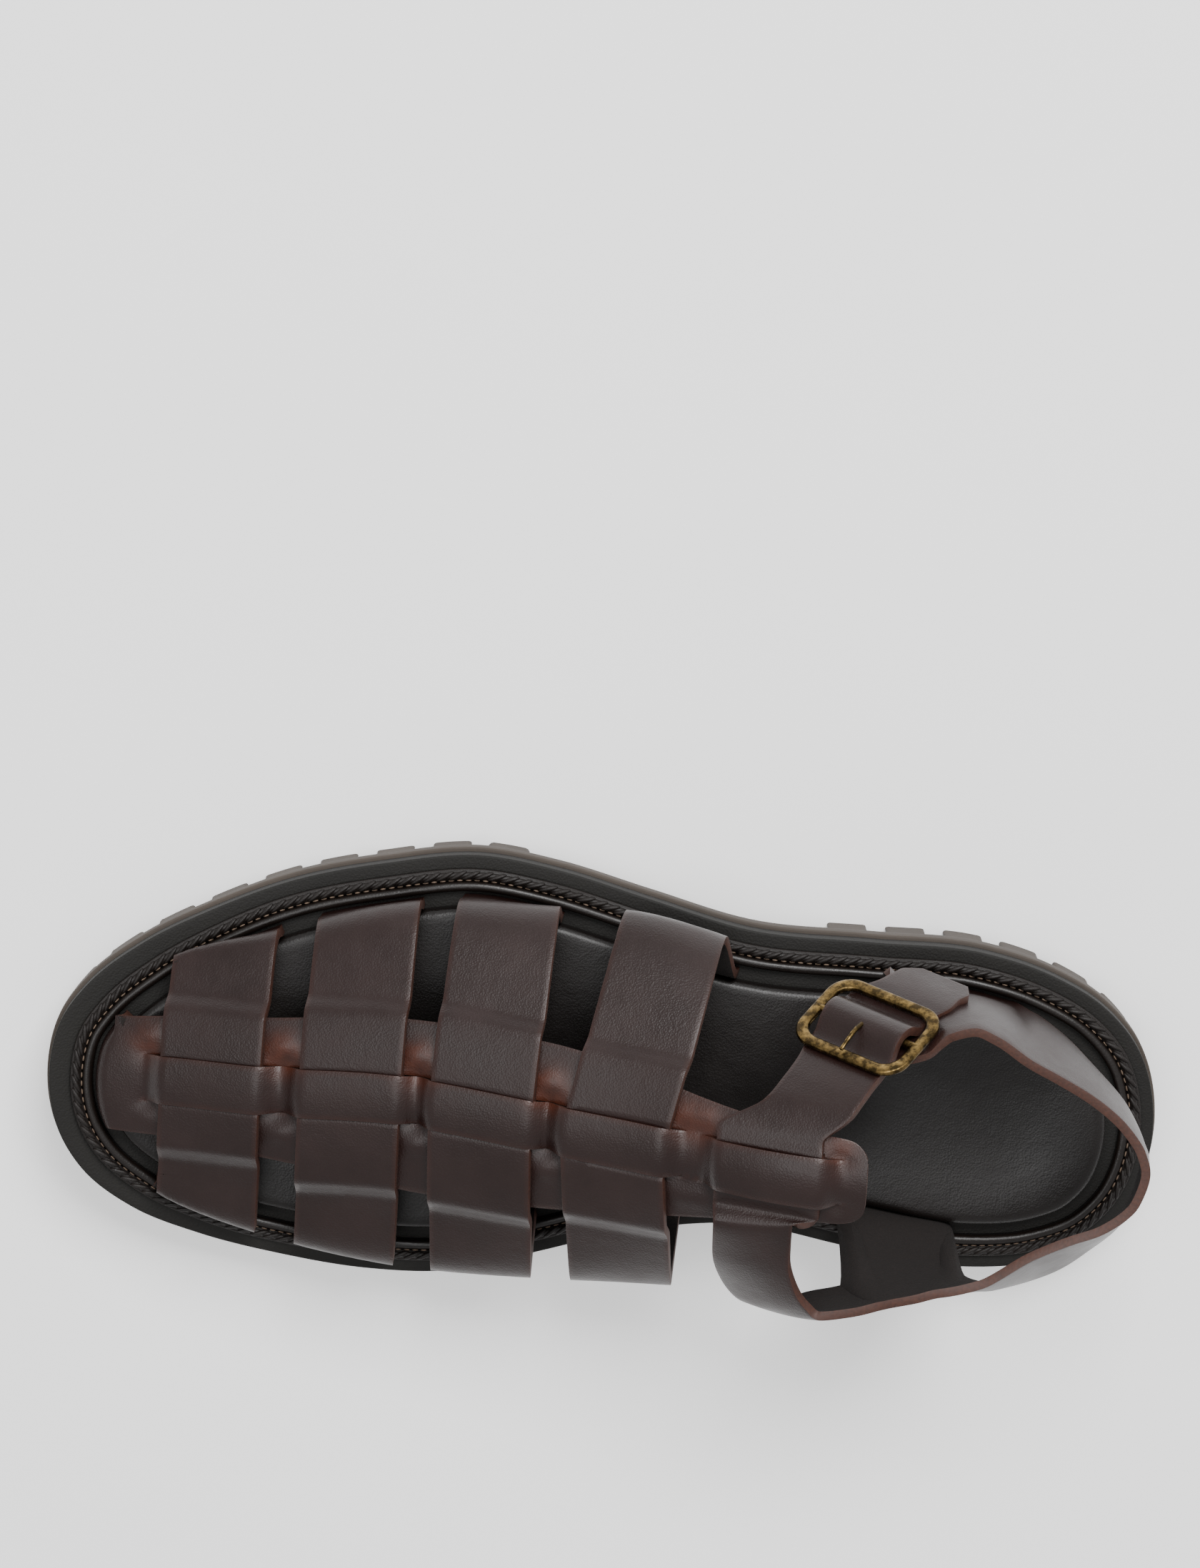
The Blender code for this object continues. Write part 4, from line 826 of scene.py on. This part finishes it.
for name, lateral, ridge, medial in CROSS_STRAPS:
    halves = []
    for side, edge in ((LATERAL, lateral), (MEDIAL, medial)):
        wing = centre_widths(ridge * SOLE_LENGTH)[0 if side == LATERAL else 1]
        start = wing + 1.7 * WEAVE_RAMP
        rows = []
        for share in np.concatenate([np.linspace(0, 0.08, 4)[:-1], np.linspace(0.08, 1, 66)]):
            row = []
            for offset in np.linspace(0.5, -0.5, 19):
                far = girth(ridge * SOLE_LENGTH + offset * STRAP_WIDTH, side)
                knee = start / far
                bend = (0.956 - 0.306 / knee) / (1 - knee)
                lean = share * (0.306 / knee - bend * knee) + bend * share**2
                along = (ridge + (edge - ridge) * lean) * SOLE_LENGTH + offset * STRAP_WIDTH
                far = girth(along, side)
                row.append(off_last(along, side * share * far, weave_lift(share * far, wing)))
            rows.append(row)
        halves.append(rows)
    grid = np.array(halves[0][:0:-1] + halves[1])
    work = sheet(*grid.shape[:2])
    lay(work.verts, grid)
    strap_piece("strap_" + name, work, (0, 0, 1))


# ---------------------------------------------------------------- buckle
# An antique brass frame with rounded edges and a centre bar, and a brass prong that turns on it.
BUCKLE_LENGTH, BUCKLE_WIDTH, BUCKLE_BAND, BUCKLE_THICKNESS = 34.5 * MM, 26 * MM, 3.2 * MM, 2 * MM
BUCKLE_CORNER, BAR_RADIUS, PRONG_WIDTH, BAND_DROP = 7 * MM, 1.05 * MM, 1.7 * MM, 2.75 * MM
buckle_middle = Vector((0.276 * SOLE_LENGTH, -0.281 * BALL_WIDTH, 0.900 * HEEL_HEIGHT))
across_strap = Vector((-0.80, 0.17, 0.57)).normalized()
down_strap = Vector((-0.57, -0.52, -0.64))
down_strap = (down_strap - across_strap * down_strap.dot(across_strap)).normalized()
off_strap = across_strap.cross(down_strap)
off_strap = -off_strap if off_strap.z < 0 else off_strap


def by_buckle(over, down, out):
    return np.array(buckle_middle + across_strap * over + down_strap * down + off_strap * out)


def rounded_rectangle(length, width, corner, steps):
    """Points round a rectangle with round corners."""
    points = []
    for quarter, (sx, sy) in enumerate(((1, 1), (-1, 1), (-1, -1), (1, -1))):
        for step in range(steps + 1):
            turn = math.pi / 2 * (quarter + step / steps)
            points.append((
                sx * (length / 2 - corner) + corner * math.cos(turn),
                sy * (width / 2 - corner) + corner * math.sin(turn),
            ))
    return points


# Antique brass: mottled dark brown on the faces, rubbed bright where the noise is high
brass, tree, shader, place = new_material("Antique brass")
patina = add(tree, "ShaderNodeTexNoise", {"Vector": place, "Scale": 420.0, "Detail": 5.0, "Roughness": 0.65})
rubbed = add(tree, "ShaderNodeMapRange", {0: patina.outputs[0], 1: 0.42, 2: 0.68})
tint = add(tree, "ShaderNodeMix", {0: rubbed.outputs[0], 6: linear("3a2f1c"), 7: linear("8b7347")}, data_type="RGBA")
tree.links.new(tint.outputs[2], shader.inputs["Base Color"])
shader.inputs["Metallic"].default_value = 1.0
sheen = add(tree, "ShaderNodeMapRange", {0: patina.outputs[0], 1: 0.3, 2: 0.7, 3: 0.42, 4: 0.26})
tree.links.new(sheen.outputs[0], shader.inputs["Roughness"])
dents = add(tree, "ShaderNodeBump", {"Height": patina.outputs[0], "Strength": 0.3, "Distance": 0.08 * MM})
tree.links.new(dents.outputs[0], shader.inputs["Normal"])

work = bmesh.new()
band, thick = BUCKLE_BAND, BUCKLE_THICKNESS
rings = []
for turn in np.linspace(0, 2 * math.pi, 17):
    c, s = math.cos(turn), math.sin(turn)
    inset = band / 2 * (1 - math.copysign(abs(c) ** 0.6, c))
    out = thick / 2 * math.copysign(abs(s) ** 0.6, s)
    corner = BUCKLE_CORNER - 0.75 * inset
    plan = rounded_rectangle(BUCKLE_LENGTH - 2 * inset, BUCKLE_WIDTH - 2 * inset, corner, 9)
    rings.append([by_buckle(over, down, out) for over, down in plan])
sweep_rings(work, rings)
spin = Matrix((down_strap, off_strap, across_strap)).transposed().to_4x4()
bmesh.ops.create_cone(
    work, cap_ends=True, segments=20, radius1=BAR_RADIUS, radius2=BAR_RADIUS,
    depth=BUCKLE_LENGTH - band, matrix=Matrix.Translation(buckle_middle) @ spin,
)
buckle = new_piece("buckle_brass", work, brass)
buckle.data.set_sharp_from_angle(angle=math.radians(60))
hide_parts("buckle_frame")
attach(buckle, "root")

# The prong: bent round wire, its eye round the bar and its end resting on the frame
wire = []
for turn in np.linspace(-0.3 * math.pi, 1.15 * math.pi, 14):
    radius = BAR_RADIUS + 1.2 * MM
    wire.append((radius * math.cos(turn), radius * math.sin(turn)))
rest = BUCKLE_THICKNESS / 2 + CLEARANCE + 0.5 * PRONG_WIDTH
wire = [(-a, b) for a, b in wire][::-1]
pin = smooth_through([(0.2 * MM, BAR_RADIUS + 1.35 * MM), (-5 * MM, rest + 1.3 * MM), (-BUCKLE_WIDTH / 2 + 1.2 * MM, rest + 0.1 * MM)], 8)
work = bmesh.new()
for line, taper in ((wire, 0.0), (pin, 0.35)):
    rings = []
    for k, (down, out) in enumerate(line):
        before, after = line[max(k - 1, 0)], line[min(k + 1, len(line) - 1)]
        ahead = Vector((after[0] - before[0], after[1] - before[1])).normalized()
        radius = PRONG_WIDTH / 2 * (1 - taper * k / len(line))
        rings.append([
            by_buckle(radius * math.cos(t), down - ahead.y * radius * 0.8 * math.sin(t), out + ahead.x * radius * 0.8 * math.sin(t))
            for t in np.linspace(0, 2 * math.pi, 13)[:-1]
        ])
    for end, step in ((0, 1), (-1, -1)):
        centre = np.mean(rings[end], axis=0)
        rings = rings[::step]
        rings.insert(0, [centre + (np.array(p) - centre) * 0.55 for p in rings[0]])
        rings = rings[::step]
    sweep_rings(work, rings)
bmesh.ops.holes_fill(work, edges=[e for e in work.edges if e.is_boundary])
prong = new_piece("prong_brass", work, brass)
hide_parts("buckle_prong")
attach(prong, "root")


# ---------------------------------------------------------------- upper: the ankle band
# From the fifth crossing down the medial side into the slot, round the open heel, down the
# lateral side and up to the buckle, all one strap of the same leather.
ANKLE_BAND = (
    # upper edge: along, across, height; lower edge: along, across, height; belly
    (0.334, 0.135, 1.164, 0.402, 0.143, 1.100, 0.004), (0.335, 0.228, 1.100, 0.400, 0.236, 0.986, 0.008),
    (0.327, 0.308, 1.043, 0.388, 0.325, 0.857, 0.010), (0.316, 0.350, 1.021, 0.368, 0.380, 0.786, 0.010),
    (0.303, 0.374, 1.014, 0.343, 0.395, 0.757, 0.006), (0.273, 0.361, 1.014, 0.310, 0.374, 0.743, 0.004),
    (0.250, 0.343, 1.014, 0.277, 0.346, 0.729, 0.004), (0.240, 0.336, 1.014, 0.277, 0.000, 0.000, 0.030),
    (0.220, 0.325, 1.007, 0.230, 0.000, 0.000, 0.028), (0.202, 0.312, 1.000, 0.187, 0.000, 0.000, 0.024),
    (0.190, 0.306, 1.000, 0.178, 0.321, 0.714, 0.004), (0.163, 0.285, 1.000, 0.153, 0.338, 0.714, 0.004),
    (0.121, 0.215, 1.000, 0.094, 0.287, 0.714, 0.004), (0.090, 0.177, 1.000, 0.065, 0.230, 0.729, 0.004),
    (0.061, 0.147, 1.000, 0.042, 0.173, 0.743, 0.004), (0.032, 0.081, 1.000, 0.025, 0.097, 0.757, 0.004),
    (0.024, 0.008, 1.000, 0.019, 0.013, 0.757, 0.004), (0.029, -0.040, 1.000, 0.025, -0.034, 0.750, 0.004),
    (0.047, -0.103, 1.000, 0.041, -0.108, 0.714, 0.004), (0.075, -0.160, 1.000, 0.068, -0.177, 0.643, 0.004),
    (0.107, -0.205, 1.000, 0.097, -0.235, 0.514, 0.006), (0.133, -0.238, 1.000, 0.122, -0.266, 0.414, 0.008),
    (0.162, -0.285, 1.000, 0.140, 0.000, 0.000, 0.020), (0.183, -0.305, 1.000, 0.183, 0.000, 0.000, 0.024),
    (0.200, -0.295, 1.000, 0.220, 0.000, 0.000, 0.026), (0.210, -0.281, 0.993, 0.245, 0.000, 0.000, 0.026),
    (0.217, -0.262, 0.998, 0.253, -0.363, 0.486, 0.020),
)
BAND_END = (
    # by the buckle: upper edge across, down; lower edge across, down
    (0.507, 0.080, -0.116, 0.580), (0.406, -0.080, -0.200, 0.310), (0.290, -0.230, -0.275, 0.080),
)


def from_crossing(side):
    """The first rows of a strap that comes out from under the middle band at the fifth crossing."""
    middle, rows = FIFTH_CROSSING * SOLE_LENGTH, []
    for way, lift in ((0.35, 0.0), (0.55, LEATHER), (0.85, LEATHER)):
        rear, front = (
            on_last(middle + offset * STRAP_WIDTH, side * way * BAND_WIDTH) + np.array([0.35, 0, 0.94]) * lift
            for offset in (-0.5, 0.5)
        )
        rows.append((rear, front))
    return rows


def monotone(rows, steps):
    """The rows with steps between each two, through a curve that never overshoots a row."""
    chords = np.diff(rows, axis=0)
    slopes = np.zeros_like(rows)
    same = chords[1:] * chords[:-1] > 0
    total = np.where(same, chords[1:] + chords[:-1], 1)
    slopes[1:-1] = np.where(same, 2 * chords[1:] * chords[:-1] / total, 0)
    slopes[0], slopes[-1] = chords[0], chords[-1]
    made = [
        rows[k] * (2 * s**3 - 3 * s**2 + 1) + rows[k + 1] * (3 * s**2 - 2 * s**3)
        + slopes[k] * (s**3 - 2 * s**2 + s) + slopes[k + 1] * (s**3 - s**2)
        for k in range(len(chords)) for s in np.arange(steps) / steps
    ]
    return np.array(made + [rows[-1]])


rows = [[rear + (front - rear) * s for s in np.linspace(0, 1, 6)] for rear, front in from_crossing(MEDIAL)]
for ax, ay, az, bx, by, bz, belly in ANKLE_BAND:
    upper = np.array([ax * SOLE_LENGTH, ay * BALL_WIDTH, az * HEEL_HEIGHT])
    lower = np.array([bx * SOLE_LENGTH, by * BALL_WIDTH, bz * HEEL_HEIGHT])
    side = MEDIAL if ay > 0 else LATERAL
    if bz == 0:
        ground = float(sole_top(lower[0])) + 1.5 * CLEARANCE
        lower[1:] = edge_across(lower[0], SLOT_INSET, side), ground + SLOT_HEIGHT
    out = np.array([0.0, side, 0.0]) * belly * BALL_WIDTH * 4
    line = [upper + (lower - upper) * s + out * s * (1 - s) for s in np.linspace(0, 1, 4 if bz == 0 else 6)]
    if bz == 0:
        line += [np.array([*lower[:2], ground + SLOT_HEIGHT / 2]), np.array([*lower[:2], ground])]
    rows.append(line)
for row in BAND_END:
    upper, lower = (by_buckle(a * BUCKLE_LENGTH, b * BUCKLE_WIDTH, -BAND_DROP) for a, b in (row[:2], row[2:]))
    rows.append([upper + (lower - upper) * s for s in np.linspace(0, 1, 6)])
rows = monotone(np.array(rows), 7)
grid = np.array([smooth_through(line, 4) for line in rows])
work = sheet(*grid.shape[:2])
lay(work.verts, grid)
strap_piece("strap_ankle", work, (-1, 0, 0.2))


# ---------------------------------------------------------------- upper: the buckle strap
# From the fifth crossing, under the frame, over the centre bar, under the frame again and down to
# a tip with clipped corners. The prong goes through one of its punched holes.
BUCKLE_STRAP_WIDTH = 24 * MM
BUCKLE_STRAP = (
    # along, across, height, half width as a share of the width, turn to lie flat with the buckle
    (0.329, -0.120, 1.133, 0.490, 0.35), (0.315, -0.163, 1.090, 0.475, 0.70), (0.304, -0.198, 1.037, 0.480, 0.95),
)
STRAP_END = (
    (0.235, -0.340, 0.750, 0.470, 1), (0.224, -0.352, 0.693, 0.440, 1),
    (0.214, -0.358, 0.643, 0.430, 1), (0.206, -0.362, 0.607, 0.300, 1),
)
rows = [[rear, (rear + front) / 2, front] for rear, front in from_crossing(LATERAL)]
backward = (rows[-1][0] - rows[-1][2]) / np.linalg.norm(rows[-1][0] - rows[-1][2])


def table_row(along, across, height, width, turn):
    centre = np.array([along * SOLE_LENGTH, across * BALL_WIDTH, height * HEEL_HEIGHT])
    way = backward + (np.array(across_strap) - backward) * turn
    reach = way / np.linalg.norm(way) * width * BUCKLE_STRAP_WIDTH
    return [centre + reach, centre, centre - reach]


rows += [table_row(*row) for row in BUCKLE_STRAP]
rest, crest = BUCKLE_THICKNESS / 2 + CLEARANCE, BAR_RADIUS + CLEARANCE + LEATHER
side, half = BUCKLE_WIDTH / 2 - BUCKLE_BAND / 2, BUCKLE_STRAP_WIDTH / 2
hump = ((-1, -rest), (-0.62, -0.4 * rest), (-0.3, 0.72 * crest), (0, crest), (0.3, 0.72 * crest), (0.62, -0.4 * rest), (1, -rest))
rows += [[by_buckle(over, down * side, out) for over in (half, 0, -half)] for down, out in hump]
rows += [table_row(*row) for row in STRAP_END]
rows = monotone(np.array(rows), 7)
grid = np.array([smooth_through(line, 10) for line in rows])
work = sheet(*grid.shape[:2])
lay(work.verts, grid)
strap_piece("strap_buckle", work, (0, -0.5, 1))


[[list(corner) for corner in box] for box in (bounds_at_start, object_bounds())]
